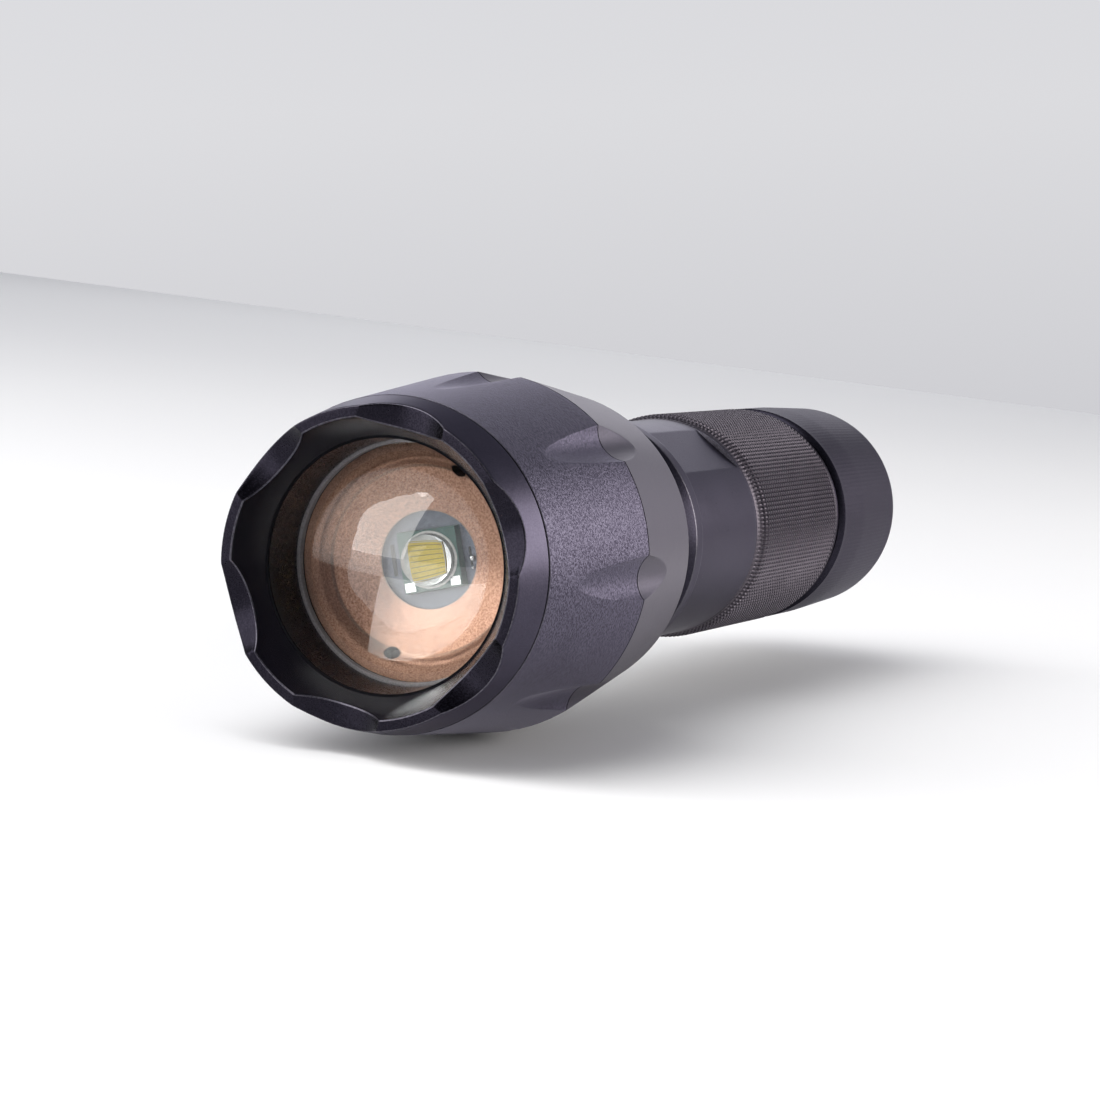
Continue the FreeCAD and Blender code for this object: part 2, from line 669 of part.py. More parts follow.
ridge_run = []
station = P["tail_thread_station"]
count = 4
for n in range(count):
    base = ("tail_thread_station", n * P["thread_pitch"])
    ridge_run += [
        (("tail_thread_station", n * P["thread_pitch"] + 0.15), "thread_root"),
        (("tail_thread_station", n * P["thread_pitch"] + 0.5), "thread_crest"),
        (("tail_thread_station", n * P["thread_pitch"] + 1.0), "thread_crest"),
        (("tail_thread_station", n * P["thread_pitch"] + 1.35), "thread_root"),
    ]
barrel = new_body("barrel")
revolve(barrel, "barrel_tube", [
    ("barrel_front_station", "barrel_thread_radius"),
    ("barrel_thread_station", "barrel_thread_radius"),
    ("barrel_bore_station", "barrel_bore"),
    ("barrel_end_station", "barrel_bore"),
    ("barrel_end_station", "thread_root"),
] + list(reversed(ridge_run)) + [
    ("ring_groove_rear", "thread_root"),
    ("ring_groove_rear", "ring_groove_radius"),
    ("ring_groove_station", "ring_groove_radius"),
    ("ring_groove_station", "pilot_radius"),
    ("groove_rear_station", "pilot_radius"),
    ("groove_rear_station", "groove_radius"),
    ("groove_front_station", "groove_radius"),
    ("grip_rear_station", "grip_radius"),
    ("grip_front_station", "grip_radius"),
    ("waist_rear_station", "waist_radius"),
    (("collar_rear_station", 0.3), "waist_radius"),
    ("collar_rear_station", "collar_radius"),
    ("collar_edge_station", "collar_radius"),
    ("collar_front_station", "neck_radius"),
    (("barrel_front_station", 0.4), "neck_radius"),
    ("barrel_front_station", ("neck_radius", -0.4)),
])
doc.recompute()
flat = new_sketch(barrel, "flat_sketch", turn=33.0)
closed_profile(flat, [
    ("flat_front_station", "flat_distance"), ("flat_rear_station", "flat_distance"),
    ("flat_rear_station", 16.0), ("flat_front_station", 16.0)])
around(barrel, pocket(barrel, flat, "flat_cut", both=True), "flats", 2)

# ---------------------------------------------------------------- battery

washer("battery_sleeve", "sleeve_front_station", "sleeve_rear_station", "sleeve_inner", "sleeve_outer")
turned("cell_can", [
    ("cell_front_station", 0.0), ("cell_rear_station", 0.0),
    ("cell_rear_station", ("cell_radius", -0.5)), (("cell_rear_station", -0.5), "cell_radius"),
    (("cell_front_station", 0.8), "cell_radius"), ("cell_front_station", ("cell_radius", -0.8))])
turned("cell_cap", [
    (("cell_front_station", -1.0), 0.0), ("cell_front_station", 0.0),
    ("cell_front_station", 3.6), (("cell_front_station", -0.25), 3.6),
    (("cell_front_station", -0.25), 2.8), (("cell_front_station", -1.0), 2.8)])
washer("cell_wrap", ("cell_front_station", 0.9), ("cell_rear_station", -0.6), ("cell_radius", 0.01), "wrap_radius")

# ---------------------------------------------------------------- tail

ring_seal("tail_seal", ("ring_groove_station", 0.7), "tail_seal_centre", "tail_seal_section")

# The tail cap: mouth, female thread, switch bore, lip, thumb recess, and a lanyard
# hole drilled through the rim on the far side.
cap = new_body("tail_cap")
revolve(cap, "cap", [
    ("cap_front_station", "cap_mouth"),
    ("cap_mouth_station", "cap_mouth"),
    ("cap_mouth_station", "cap_thread_bore"),
    ("cap_shoulder_station", "cap_thread_bore"),
    ("cap_shoulder_station", "cap_switch_bore"),
    ("cap_lip_station", "cap_switch_bore"),
    ("cap_lip_station", "cap_lip_radius"),
    ("cap_recess_station", "cap_lip_radius"),
    ("cap_recess_station", "cap_recess_radius"),
    (("cap_rear_station", -0.5), "cap_recess_radius"),
    ("cap_rear_station", ("cap_recess_radius", 0.5)),
    ("cap_rear_station", ("cap_rear_radius", -1.1)),
    (("cap_rear_station", -0.35), ("cap_rear_radius", -0.4)),
    (("cap_rear_station", -1.1), "cap_rear_radius"),
    (("cap_front_station", 9.0), "cap_radius"),
    (("cap_front_station", 0.65), "cap_radius"),
    ("cap_front_station", ("cap_radius", -0.6)),
])
doc.recompute()
lanyard = new_sketch(cap, "lanyard_sketch")
circle_in(lanyard, "lanyard_station", 0.0, "lanyard_radius")
# the hole goes out on the -X side only
hole = pocket(cap, lanyard, "lanyard_hole")
probe = Part.Vertex(Vector(-11.2, P["lanyard_station"] - P["origin_station"], 0))
if cap.Shape.isInside(probe.Point, 1e-6, False):
    hole.Reversed = not hole.Reversed
    doc.recompute()
if cap.Shape.isInside(probe.Point, 1e-6, False):
    raise RuntimeError("the lanyard hole is on the wrong side")

washer("switch_ring", "ring_front_station", "ring_rear_station", "ring_inner", "ring_outer")
turned("switch_board", [
    ("ring_rear_station", 0.0), ("board_rear_station", 0.0),
    ("board_rear_station", "board_radius"), ("ring_rear_station", "board_radius")])
washer("switch_spacer", "board_rear_station", ("boot_flange_station", -0.02), 9.1, ("boot_flange_radius", -0.05))

# Square switch housing with a round cavity for the plunger, and its cover.
housing = new_body("switch_housing")
side_half = dim("switch_side")[0] / 2.0
house_sketch = new_sketch(housing, "housing_sketch", "XZ_Plane")


def square(sketch, side):
    import Sketcher
    value, text = as_dim(side)
    c = value / 2.0
    corners = [Vector(-c, -c, 0), Vector(c, -c, 0), Vector(c, c, 0), Vector(-c, c, 0)]
    for i in range(4):
        sketch.addGeometry(Part.LineSegment(corners[i], corners[(i + 1) % 4]), False)
    for i in range(4):
        sketch.addConstraint(Sketcher.Constraint("Coincident", i, 2, (i + 1) % 4, 1))
    for i, kind in enumerate(("Horizontal", "Vertical", "Horizontal", "Vertical")):
        sketch.addConstraint(Sketcher.Constraint(kind, i))
    sketch.addConstraint(Sketcher.Constraint("Symmetric", 0, 1, 1, 2, -1, 1))
    for refs in ((0, 1, 0, 2), ):
        index = sketch.addConstraint(Sketcher.Constraint("DistanceX", *refs, value))
        sketch.renameConstraint(index, "side")
        sketch.setExpression("Constraints.side", text)
    index = sketch.addConstraint(Sketcher.Constraint("DistanceY", 1, 1, 1, 2, value))
    sketch.renameConstraint(index, "tall")
    sketch.setExpression("Constraints.tall", text)


def slab(body, sketch, name, front, rear):
    """Pad a sketch that lies across the axis, from one station to another."""
    value, text = dim(rear, "-" + front)
    sketch.AttachmentOffset = Placement(Vector(0, 0, -P[front]), Rotation())
    pad = body.newObject("PartDesign::Pad", name)
    pad.Profile = sketch
    pad.Length = value
    pad.setExpression("Length", text)
    doc.recompute()
    box = body.Shape.BoundBox
    low = P[front] - P["origin_station"]
    if abs(box.YMin - low) > 1e-4:
        pad.Reversed = not pad.Reversed
        doc.recompute()
    if abs(body.Shape.BoundBox.YMin - low) > 1e-4:
        raise RuntimeError(name + " is at the wrong station")


square(house_sketch, "switch_side")
slab(housing, house_sketch, "housing_pad", "board_rear_station", "switch_top_station")
before = housing.Shape.Volume
revolve(housing, "cavity", [
    ("switch_floor_station", 0.0), (("switch_top_station", 0.5), 0.0),
    (("switch_top_station", 0.5), "switch_cavity_radius"),
    ("switch_floor_station", "switch_cavity_radius")], kind="Groove")
doc.recompute()
if not housing.Shape.Volume < before - 1.0:
    raise RuntimeError("the switch cavity cuts nothing")

cover = new_body("switch_cover")
cover_sketch = new_sketch(cover, "cover_sketch", "XZ_Plane")
square(cover_sketch, "switch_side")
circle_in(cover_sketch, 0.0, 0.0, "cover_hole_radius")
slab(cover, cover_sketch, "cover_pad", "switch_top_station", "switch_cover_station")

# Two solder tabs that hold the housing on the board.
tabs = doc.addObject("Part::Compound", "switch_tabs")
tabs.Label = "switch_tabs"
links = []
for n, side in enumerate((-1, 1)):
    tab = doc.addObject("Part::Box", "tab_%d" % n)
    tab.Length, tab.Width, tab.Height = 0.5, 2.6, 3.0
    tab.Placement = Placement(
        Vector(side * (side_half + 0.26) - 0.25, P["board_rear_station"] - P["origin_station"], -1.5), Rotation())
    links.append(tab)
tabs.Links = links
PARTS.append(tabs)

single("tail_spring", spring(P["cell_rear_station"] + 0.05, P["ring_rear_station"] - 0.05, 6, 3.0, 5.2, 0.5))

# Rubber boot: flange under the lip, straight wall, crowned top, hollow inside.
turned("switch_boot", [
    ("boot_flange_station", "boot_inner"),
    ("boot_ceiling_station", "boot_inner"),
    ("boot_ceiling_station", 0.0),
    ("boot_top_station", 0.0),
    ("boot_top_station", 3.6),
    (("boot_top_station", -0.35), 5.3),
    (("boot_top_station", -1.0), 6.45),
    (("boot_top_station", -2.1), 7.1),
    (("cap_recess_station", 0.3), "boot_radius"),
    (("cap_lip_station", -0.02), "boot_radius"),
    (("cap_lip_station", -0.02), "boot_flange_radius"),
    ("boot_flange_station", "boot_flange_radius"),
])
turned("button_insert", [
    (("plunger_end_station", 0.02), 0.0),
    ("insert_rear_station", 0.0),
    ("insert_rear_station", ("insert_radius", -0.4)),
    (("insert_rear_station", -0.4), "insert_radius"),
    ("insert_front_station", "insert_radius"),
    ("insert_front_station", 2.2),
    (("plunger_end_station", 0.02), 2.2),
])
turned("switch_plunger", [
    ("plunger_flange_station", 0.0),
    ("plunger_end_station", 0.0),
    ("plunger_end_station", "plunger_radius"),
    (("plunger_flange_station", 0.9), "plunger_radius"),
    (("plunger_flange_station", 0.9), "plunger_flange_radius"),
    ("plunger_flange_station", "plunger_flange_radius"),
])
single("return_spring", spring(P["switch_floor_station"] + 0.02, P["plunger_flange_station"] - 0.02, 3.5, 2.3, 2.3, 0.25))

# ---------------------------------------------------------------- check and write

doc.recompute()
for obj in doc.Objects:
    bad = [state for state in obj.State if state in ("Invalid", "Error")]
    if bad:
        raise RuntimeError("%s is %s" % (obj.Label, bad))
labels = [obj.Label for obj in PARTS]
if len(labels) != len(set(labels)):
    raise RuntimeError("two pieces share a name")
for obj in PARTS:
    shape = obj.Shape
    if shape.isNull() or not shape.isValid() or not shape.Solids:
        raise RuntimeError(obj.Label + " has no valid solid")
    if any(solid.Volume <= 0 for solid in shape.Solids):
        raise RuntimeError(obj.Label + " is inside out")

os.makedirs("parts", exist_ok=True)
for obj in PARTS:
    obj.Shape.exportStep("parts/%s.step" % obj.Label)
    box = obj.Shape.BoundBox
    print("%-20s %d solid(s) %9.2f mm3  y %8.2f .. %8.2f  r %6.2f" % (
        obj.Label, len(obj.Shape.Solids), obj.Shape.Volume, box.YMin, box.YMax,
        max(abs(box.XMin), box.XMax, abs(box.ZMin), box.ZMax)))
print(len(PARTS), "pieces")
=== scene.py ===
import bpy
import math
import numpy as np
from mathutils import Matrix, Vector


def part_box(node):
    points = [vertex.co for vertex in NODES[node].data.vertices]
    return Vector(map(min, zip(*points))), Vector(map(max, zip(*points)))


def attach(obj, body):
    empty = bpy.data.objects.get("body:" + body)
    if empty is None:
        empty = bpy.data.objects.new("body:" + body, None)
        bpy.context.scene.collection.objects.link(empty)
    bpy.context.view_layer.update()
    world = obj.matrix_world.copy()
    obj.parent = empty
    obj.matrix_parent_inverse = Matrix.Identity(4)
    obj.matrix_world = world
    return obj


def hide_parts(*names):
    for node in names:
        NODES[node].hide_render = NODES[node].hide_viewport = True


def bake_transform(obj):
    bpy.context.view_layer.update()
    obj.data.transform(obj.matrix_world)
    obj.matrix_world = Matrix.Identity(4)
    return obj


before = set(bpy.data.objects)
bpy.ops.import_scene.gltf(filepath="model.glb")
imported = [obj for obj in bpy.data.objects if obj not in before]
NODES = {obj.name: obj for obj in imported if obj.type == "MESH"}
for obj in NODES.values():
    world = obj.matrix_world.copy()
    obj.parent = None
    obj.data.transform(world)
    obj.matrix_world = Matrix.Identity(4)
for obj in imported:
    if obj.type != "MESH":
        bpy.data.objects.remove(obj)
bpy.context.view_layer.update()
sin, cos, pi = np.sin, np.cos, np.pi

# Stations are millimetres behind the front rim, measured along +Y.
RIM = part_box("bezel_ring")[0].y


def Y(s):
    return RIM + s * 0.001


ROLL = math.radians(-8.0)          # the torch rests on a flute, a little turned from the upright look
UP = Vector((math.sin(ROLL), 0.0, math.cos(ROLL)))


# ------------------------------------------------------------------ mesh helpers
def rounded(points, steps=3, support=0.22):
    """A closed outline of (station, radius, fillet) corners, with small arcs and support rows beside them."""
    out, n = [], len(points)
    for i in range(n):
        p0, p1, p2 = (np.array(points[(i + k) % n][:2], float) for k in (-1, 0, 1))
        f = points[i][2] if len(points[i]) > 2 else 0.06
        a, b = p0 - p1, p2 - p1
        la, lb = np.linalg.norm(a), np.linalg.norm(b)
        if la < 1e-9 or lb < 1e-9:
            continue
        a, b = a / la, b / lb
        c = float(np.clip(np.dot(a, b), -1, 1))
        ang = math.acos(c)
        if f <= 0 or ang > math.radians(176):
            out.append(tuple(p1))
            continue
        t = min(f / math.tan(ang / 2), 0.42 * la, 0.42 * lb)
        r = t * math.tan(ang / 2)
        s_, e_ = p1 + a * t, p1 + b * t
        centre = p1 + (a + b) / np.linalg.norm(a + b) * (r / math.sin(ang / 2))
        if la - t > support * 2.2:
            out.append(tuple(s_ + a * support * 0.5))
        v0, v1 = s_ - centre, e_ - centre
        for k in range(steps + 1):
            w = k / steps
            v = v0 * (1 - w) + v1 * w
            v = v / np.linalg.norm(v) * r
            out.append(tuple(centre + v))
        if lb - t > support * 2.2:
            out.append(tuple(e_ + b * support * 0.5))
    return out


def make(name, co, faces, mats=(), index=None, sharp=38.0, smooth=True):
    me = bpy.data.meshes.new(name)
    me.from_pydata([tuple(c) for c in co], [], faces)
    me.validate(clean_customdata=False)
    for m in mats:
        me.materials.append(m)
    if index is not None and len(index) == len(me.polygons):
        me.polygons.foreach_set("material_index", np.asarray(index, np.int32))
    me.polygons.foreach_set("use_smooth", [smooth] * len(me.polygons))
    me.update()
    import bmesh
    bm = bmesh.new()
    bm.from_mesh(me)
    bmesh.ops.remove_doubles(bm, verts=bm.verts, dist=1e-7)
    bmesh.ops.recalc_face_normals(bm, faces=bm.faces)
    bm.to_mesh(me)
    bm.free()
    if sharp:
        me.set_sharp_from_angle(angle=math.radians(sharp))
    ob = bpy.data.objects.new(name, me)
    bpy.context.scene.collection.objects.link(ob)
    return ob


def grid(name, S, R, T, mats=(), row_mat=None, closed=True, sharp=38.0):
    """S, R, T are arrays rows x columns: station mm, radius mm, angle in radians from +Z to +X."""
    rows, cols = S.shape
    co = np.stack([R * sin(T) * 0.001, RIM + S * 0.001, R * cos(T) * 0.001], -1).reshape(-1, 3)
    faces, index = [], []
    last = rows if closed else rows - 1
    for i in range(last):
        j = (i + 1) % rows
        a, b = i * cols, j * cols
        m = row_mat[i] if row_mat else 0
        for k in range(cols):
            k2 = (k + 1) % cols
            faces.append((a + k, a + k2, b + k2, b + k))
            index.append(m)
    return make(name, co, faces, mats, index, sharp)


def lathe(name, outline, cols=180, mats=(), fillet=0.06, sharp=38.0, steps=3):
    pts = rounded([(p[0], p[1], p[2] if len(p) > 2 else fillet) for p in outline], steps)
    s = np.array([p[0] for p in pts])
    r = np.maximum(np.array([p[1] for p in pts]), 0.0)
    t = np.arange(cols) / cols * 2 * pi
    S = np.repeat(s[:, None], cols, 1)
    R = np.repeat(r[:, None], cols, 1)
    T = np.repeat(t[None, :], len(s), 0)
    return grid(name, S, R, T, mats, sharp=sharp)


def softmin(a, b, e):
    return 0.5 * (a + b - np.sqrt((a - b) ** 2 + e * e))


# ------------------------------------------------------------------ materials
def new_mat(name):
    m = bpy.data.materials.new(name)
    m.use_nodes = True
    nt = m.node_tree
    b = nt.nodes["Principled BSDF"]
    return m, nt, b


def coords(nt, scale=(1, 1, 1)):
    tc = nt.nodes.new("ShaderNodeTexCoord")
    mp = nt.nodes.new("ShaderNodeMapping")
    mp.inputs["Scale"].default_value = scale
    nt.links.new(tc.outputs["Object"], mp.inputs["Vector"])
    return mp.outputs["Vector"]


def noise(nt, vec, scale, detail=3.0, rough=0.55):
    n = nt.nodes.new("ShaderNodeTexNoise")
    n.inputs["Scale"].default_value = scale
    n.inputs["Detail"].default_value = detail
    n.inputs["Roughness"].default_value = rough
    nt.links.new(vec, n.inputs["Vector"])
    return n.outputs["Fac"]


def ramp(nt, fac, stops):
    r = nt.nodes.new("ShaderNodeValToRGB")
    while len(r.color_ramp.elements) < len(stops):
        r.color_ramp.elements.new(0.5)
    for e, (p, c) in zip(r.color_ramp.elements, stops):
        e.position = p
        e.color = (*c, 1.0) if len(c) == 3 else c
    nt.links.new(fac, r.inputs["Fac"])
    return r.outputs["Color"]


def grey(v):
    return (v, v, v)


def bump(nt, b, height, strength, distance, prior=None):
    n = nt.nodes.new("ShaderNodeBump")
    n.inputs["Strength"].default_value = strength
    n.inputs["Distance"].default_value = distance
    nt.links.new(height, n.inputs["Height"])
    if prior is not None:
        nt.links.new(prior, n.inputs["Normal"])
    nt.links.new(n.outputs["Normal"], b.inputs["Normal"])
    return n.outputs["Normal"]


def surface(name, dark, light, metallic, rough, grain=5200.0, grain_bump=0.35, depth=2e-5,
            blotch=140.0, brushed=0.0, coat=0.0, spec=0.5, spread=0.14,
            cloud=0.35, sheen=0.0, tint=None):
    """Two-tone surface with fine grain in colour, roughness and height, and an optional turning pattern round the axis."""
    m, nt, b = new_mat(name)
    vec = coords(nt)
    fine = noise(nt, vec, grain, 2.0, 0.6)
    broad = noise(nt, vec, blotch, 4.0, 0.55)
    mix = nt.nodes.new("ShaderNodeMath")
    mix.operation = "MULTIPLY_ADD"
    nt.links.new(fine, mix.inputs[0])
    mix.inputs[1].default_value = 1.0 - cloud
    half = nt.nodes.new("ShaderNodeMath")
    half.operation = "MULTIPLY"
    half.inputs[1].default_value = cloud
    nt.links.new(broad, half.inputs[0])
    nt.links.new(half.outputs[0], mix.inputs[2])
    col = ramp(nt, mix.outputs[0], [(0.5 - spread, dark), (0.5 + spread, light)])
    nt.links.new(col, b.inputs["Base Color"])
    b.inputs["Metallic"].default_value = metallic
    b.inputs["Specular IOR Level"].default_value = spec
    rr = ramp(nt, mix.outputs[0], [(0.3, grey(rough * 0.86)), (0.7, grey(min(1.0, rough * 1.14)))])
    nt.links.new(rr, b.inputs["Roughness"])
    n1 = bump(nt, b, fine, grain_bump, depth)
    if brushed > 0:
        ring = noise(nt, coords(nt, (1, 60, 1)), 220.0, 3.0, 0.6)
        bump(nt, b, ring, brushed, 1.2e-5, n1)
    if tint:
        b.inputs["Specular Tint"].default_value = (*tint, 1.0)
    if sheen:
        b.inputs["Sheen Weight"].default_value = sheen
        b.inputs["Sheen Roughness"].default_value = 0.35
        b.inputs["Sheen Tint"].default_value = (0.86, 0.84, 1.0, 1.0)
    if coat:
        b.inputs["Coat Weight"].default_value = coat
        b.inputs["Coat Roughness"].default_value = 0.12
    return m


M_blast = surface("anodised_blasted", (0.014, 0.012, 0.020), (0.092, 0.085, 0.114), 1.0, 0.39, grain=3900,
                  grain_bump=1.0, depth=5.5e-5, spread=0.085, cloud=0.07, sheen=0.20, tint=(0.87, 0.83, 0.97))
M_turned = surface("anodised_turned", (0.032, 0.029, 0.043), (0.064, 0.059, 0.082), 1.0, 0.33, grain=6500,
                   grain_bump=0.28, depth=1.4e-5, brushed=0.30, tint=(0.80, 0.77, 0.87))
M_waist = surface("anodised_waist", (0.013, 0.012, 0.018), (0.034, 0.031, 0.044), 1.0, 0.31, grain=5600,
                  grain_bump=0.35, depth=1.6e-5, brushed=0.30, tint=(0.76, 0.735, 0.81))
M_tail = surface("anodised_tail", (0.014, 0.013, 0.018), (0.038, 0.035, 0.046), 1.0, 0.40, grain=4600,
                 grain_bump=0.6, depth=2.4e-5, cloud=0.15, tint=(0.68, 0.66, 0.72))
M_rear = surface("anodised_rear_cone", (0.040, 0.037, 0.053), (0.082, 0.076, 0.102), 1.0, 0.38, grain=5200,
                 grain_bump=0.50, depth=2.4e-5, brushed=0.15, cloud=0.12, tint=(1.0, 0.965, 1.0))
M_inner = surface("anodised_funnel", (0.003, 0.0027, 0.0045), (0.009, 0.008, 0.012), 0.0, 0.28, grain=5000,
                  grain_bump=0.10, depth=0.8e-5, brushed=0.06, spec=0.4)
M_flare = surface("anodised_flare", (0.003, 0.0026, 0.0045), (0.007, 0.006, 0.010), 0.0, 0.20, grain=5000,
                  grain_bump=0.10, depth=0.8e-5, brushed=0.06, spec=0.5)
M_void = surface("anodised_step_shadow", (0.002, 0.002, 0.003), (0.006, 0.006, 0.008), 0.0, 0.8, grain=5000,
                 grain_bump=0.2, depth=1.0e-5, spec=0.06)
M_cut = surface("anodised_milled", (0.011, 0.010, 0.015), (0.020, 0.018, 0.026), 1.0, 0.27, grain=5200,
                grain_bump=0.12, depth=1.0e-5, brushed=0.2)
M_knurl = surface("anodised_knurl", (0.036, 0.032, 0.040), (0.084, 0.075, 0.090), 1.0, 0.40, grain=5200,
                  grain_bump=0.4, depth=1.6e-5, tint=(1.0, 0.95, 1.0))
# painted highlight: a lighter anodising laid on edge and fillet rows to stand in for the bright edge glints
M_edge_highlight = surface("anodised_painted_edge_highlight", (0.040, 0.038, 0.048), (0.125, 0.118, 0.142), 1.0, 0.36, grain=5200,
                 grain_bump=0.3, depth=1.2e-5)
M_bronze = surface("bronze_anodised", (0.30, 0.158, 0.105), (0.56, 0.325, 0.225), 0.78, 0.37, grain=5200,
                   grain_bump=0.5, depth=2.2e-5, blotch=420.0, cloud=0.2)
M_alu = surface("bare_aluminium", (0.60, 0.60, 0.62), (0.76, 0.76, 0.78), 1.0, 0.28, grain=6000, grain_bump=0.15,
                depth=0.8e-5, brushed=0.5)
M_ring = surface("lens_ring_grey", (0.16, 0.15, 0.155), (0.27, 0.255, 0.26), 0.0, 0.5, grain=5200, grain_bump=0.2)
M_star = surface("star_mask", (0.085, 0.100, 0.140), (0.155, 0.175, 0.220), 0.1, 0.42, grain=2600, grain_bump=0.2,
                 depth=1e-5, coat=0.15)
M_teal = surface("led_ceramic", (0.014, 0.070, 0.056), (0.040, 0.130, 0.106), 0.0, 0.45, grain=4200, grain_bump=0.2,
                 depth=0.8e-5)
M_white = surface("led_white_field", (0.50, 0.51, 0.50), (0.66, 0.66, 0.64), 0.0, 0.5, grain=3800, grain_bump=0.15,
                  depth=0.6e-5)
M_die = surface("phosphor", (0.62, 0.46, 0.045), (0.80, 0.63, 0.10), 0.0, 0.55, grain=9000, grain_bump=0.2, depth=0.5e-5)
M_stripe = surface("die_fingers", (0.26, 0.21, 0.06), (0.40, 0.33, 0.10), 0.3, 0.4, grain=9000, grain_bump=0.1)
M_solder = surface("solder", (0.62, 0.63, 0.64), (0.84, 0.84, 0.84), 1.0, 0.24, grain=2800, grain_bump=0.3, depth=1e-5)
M_rubber = surface("boot_rubber", (0.018, 0.018, 0.020), (0.040, 0.039, 0.042), 0.0, 0.62, grain=3600,
                   grain_bump=0.45, depth=2.2e-5)
M_seal = surface("seal_rubber", (0.012, 0.012, 0.013), (0.030, 0.030, 0.032), 0.0, 0.30, grain=2600, grain_bump=0.2,
                 coat=0.3)
M_brass = surface("brass", (0.60, 0.42, 0.15), (0.82, 0.62, 0.28), 1.0, 0.28, grain=4200, grain_bump=0.15, brushed=0.3)
M_pcb = surface("board_green", (0.012, 0.10, 0.045), (0.03, 0.19, 0.085), 0.0, 0.34, grain=1500, grain_bump=0.2,
                coat=0.25)
M_chip = surface("chip_black", (0.012, 0.012, 0.013), (0.040, 0.040, 0.042), 0.0, 0.55, grain=3600, grain_bump=0.4)
M_ferrite = surface("ferrite", (0.06, 0.06, 0.065), (0.16, 0.16, 0.165), 0.1, 0.5, grain=2800, grain_bump=0.4)
M_spring = surface("spring_wire", (0.52, 0.50, 0.45), (0.76, 0.74, 0.68), 1.0, 0.25, grain=3500, grain_bump=0.12)
M_sleeve = surface("sleeve_white", (0.62, 0.62, 0.59), (0.80, 0.80, 0.77), 0.0, 0.42, grain=2200, grain_bump=0.15)
M_nickel = surface("nickel", (0.58, 0.58, 0.56), (0.80, 0.79, 0.77), 1.0, 0.20, grain=3200, grain_bump=0.12)
M_wrap = surface("cell_wrap", (0.030, 0.10, 0.24), (0.06, 0.17, 0.36), 0.0, 0.25, grain=900, grain_bump=0.12, coat=0.3)
M_red = surface("wire_red", (0.40, 0.012, 0.012), (0.60, 0.04, 0.03), 0.0, 0.38, grain=2500, grain_bump=0.12)
M_blk = surface("wire_black", (0.010, 0.010, 0.010), (0.032, 0.032, 0.032), 0.0, 0.38, grain=2500, grain_bump=0.12)
M_spacer = surface("spacer_black", (0.014, 0.014, 0.016), (0.042, 0.042, 0.046), 0.0, 0.5, grain=2500, grain_bump=0.3)
M_housing = surface("switch_black", (0.010, 0.010, 0.011), (0.034, 0.034, 0.036), 0.0, 0.4, grain=2500, grain_bump=0.25)


def glass(name, ior, tint, sheen=0.0):
    m, nt, b = new_mat(name)
    nt.nodes.remove(b)
    g = nt.nodes.new("ShaderNodeBsdfGlass")
    g.inputs["IOR"].default_value = ior
    g.inputs["Roughness"].default_value = 0.0
    vec = coords(nt)
    c = ramp(nt, noise(nt, vec, 90.0, 2.0), [(0.35, tint), (0.65, (1, 1, 1))])
    nt.links.new(c, g.inputs["Color"])
    bm_ = nt.nodes.new("ShaderNodeBump")
    bm_.inputs["Strength"].default_value = 0.02
    bm_.inputs["Distance"].default_value = 1e-5
    nt.links.new(noise(nt, vec, 260.0, 1.0), bm_.inputs["Height"])
    nt.links.new(bm_.outputs["Normal"], g.inputs["Normal"])
    t = nt.nodes.new("ShaderNodeBsdfTransparent")
    lp = nt.nodes.new("ShaderNodeLightPath")
    mx = nt.nodes.new("ShaderNodeMixShader")
    nt.links.new(lp.outputs["Is Shadow Ray"], mx.inputs["Fac"])
    nt.links.new(g.outputs[0], mx.inputs[1])
    nt.links.new(t.outputs[0], mx.inputs[2])
    out = mx.outputs[0]
    if sheen:
        gl = nt.nodes.new("ShaderNodeBsdfGlossy")
        gl.inputs["Color"].default_value = (1.0, 0.985, 0.97, 1.0)
        gl.inputs["Roughness"].default_value = 0.03
        nt.links.new(bm_.outputs["Normal"], gl.inputs["Normal"])
        m2 = nt.nodes.new("ShaderNodeMixShader")
        m2.inputs["Fac"].default_value = sheen
        nt.links.new(mx.outputs[0], m2.inputs[1])
        nt.links.new(gl.outputs[0], m2.inputs[2])
        out = m2.outputs[0]
    nt.links.new(out, nt.nodes["Material Output"].inputs["Surface"])
    return m


M_glass = glass("lens_glass", 1.49, (0.972, 0.985, 0.985), 0.035)
M_dome = glass("led_silicone", 1.41, (0.97, 0.985, 0.98))

PAINT = {
    "bezel_ring": M_turned, "head_sleeve": M_blast, "barrel": M_turned, "tail_cap": M_blast,
    "lamp_module": M_alu, "led_cover_disc": M_bronze, "star_board": M_star, "led_substrate": M_teal,
    "led_die": M_die, "led_pads": M_solder, "led_dome": M_dome, "led_wire_positive": M_red,
    "led_wire_negative": M_blk, "driver_board": M_pcb, "driver_ring": M_brass, "driver_chip": M_chip,
    "driver_inductor": M_ferrite, "driver_spring": M_spring, "battery_sleeve": M_sleeve, "cell_can": M_nickel,
    "cell_cap": M_nickel, "cell_wrap": M_wrap, "slide_seal_front": M_seal, "slide_seal_rear": M_seal,
    "bezel_seal": M_seal, "tail_seal": M_seal, "lens": M_glass, "lens_gasket": M_ring, "lens_spacer": M_spacer,
    "switch_ring": M_brass, "switch_board": M_pcb, "switch_spacer": M_sleeve, "switch_housing": M_housing,
    "switch_cover": M_nickel, "switch_tabs": M_solder, "tail_spring": M_spring, "switch_boot": M_rubber,
    "return_spring": M_spring, "switch_plunger": M_sleeve, "button_insert": M_sleeve,
}
for name, mat in PAINT.items():
    me = NODES[name].data
    me.materials.clear()
    me.materials.append(mat)


def done(ob, body, slot, *nodes):
    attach(ob, body)
    if nodes:
        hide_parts(*nodes)
    return ob


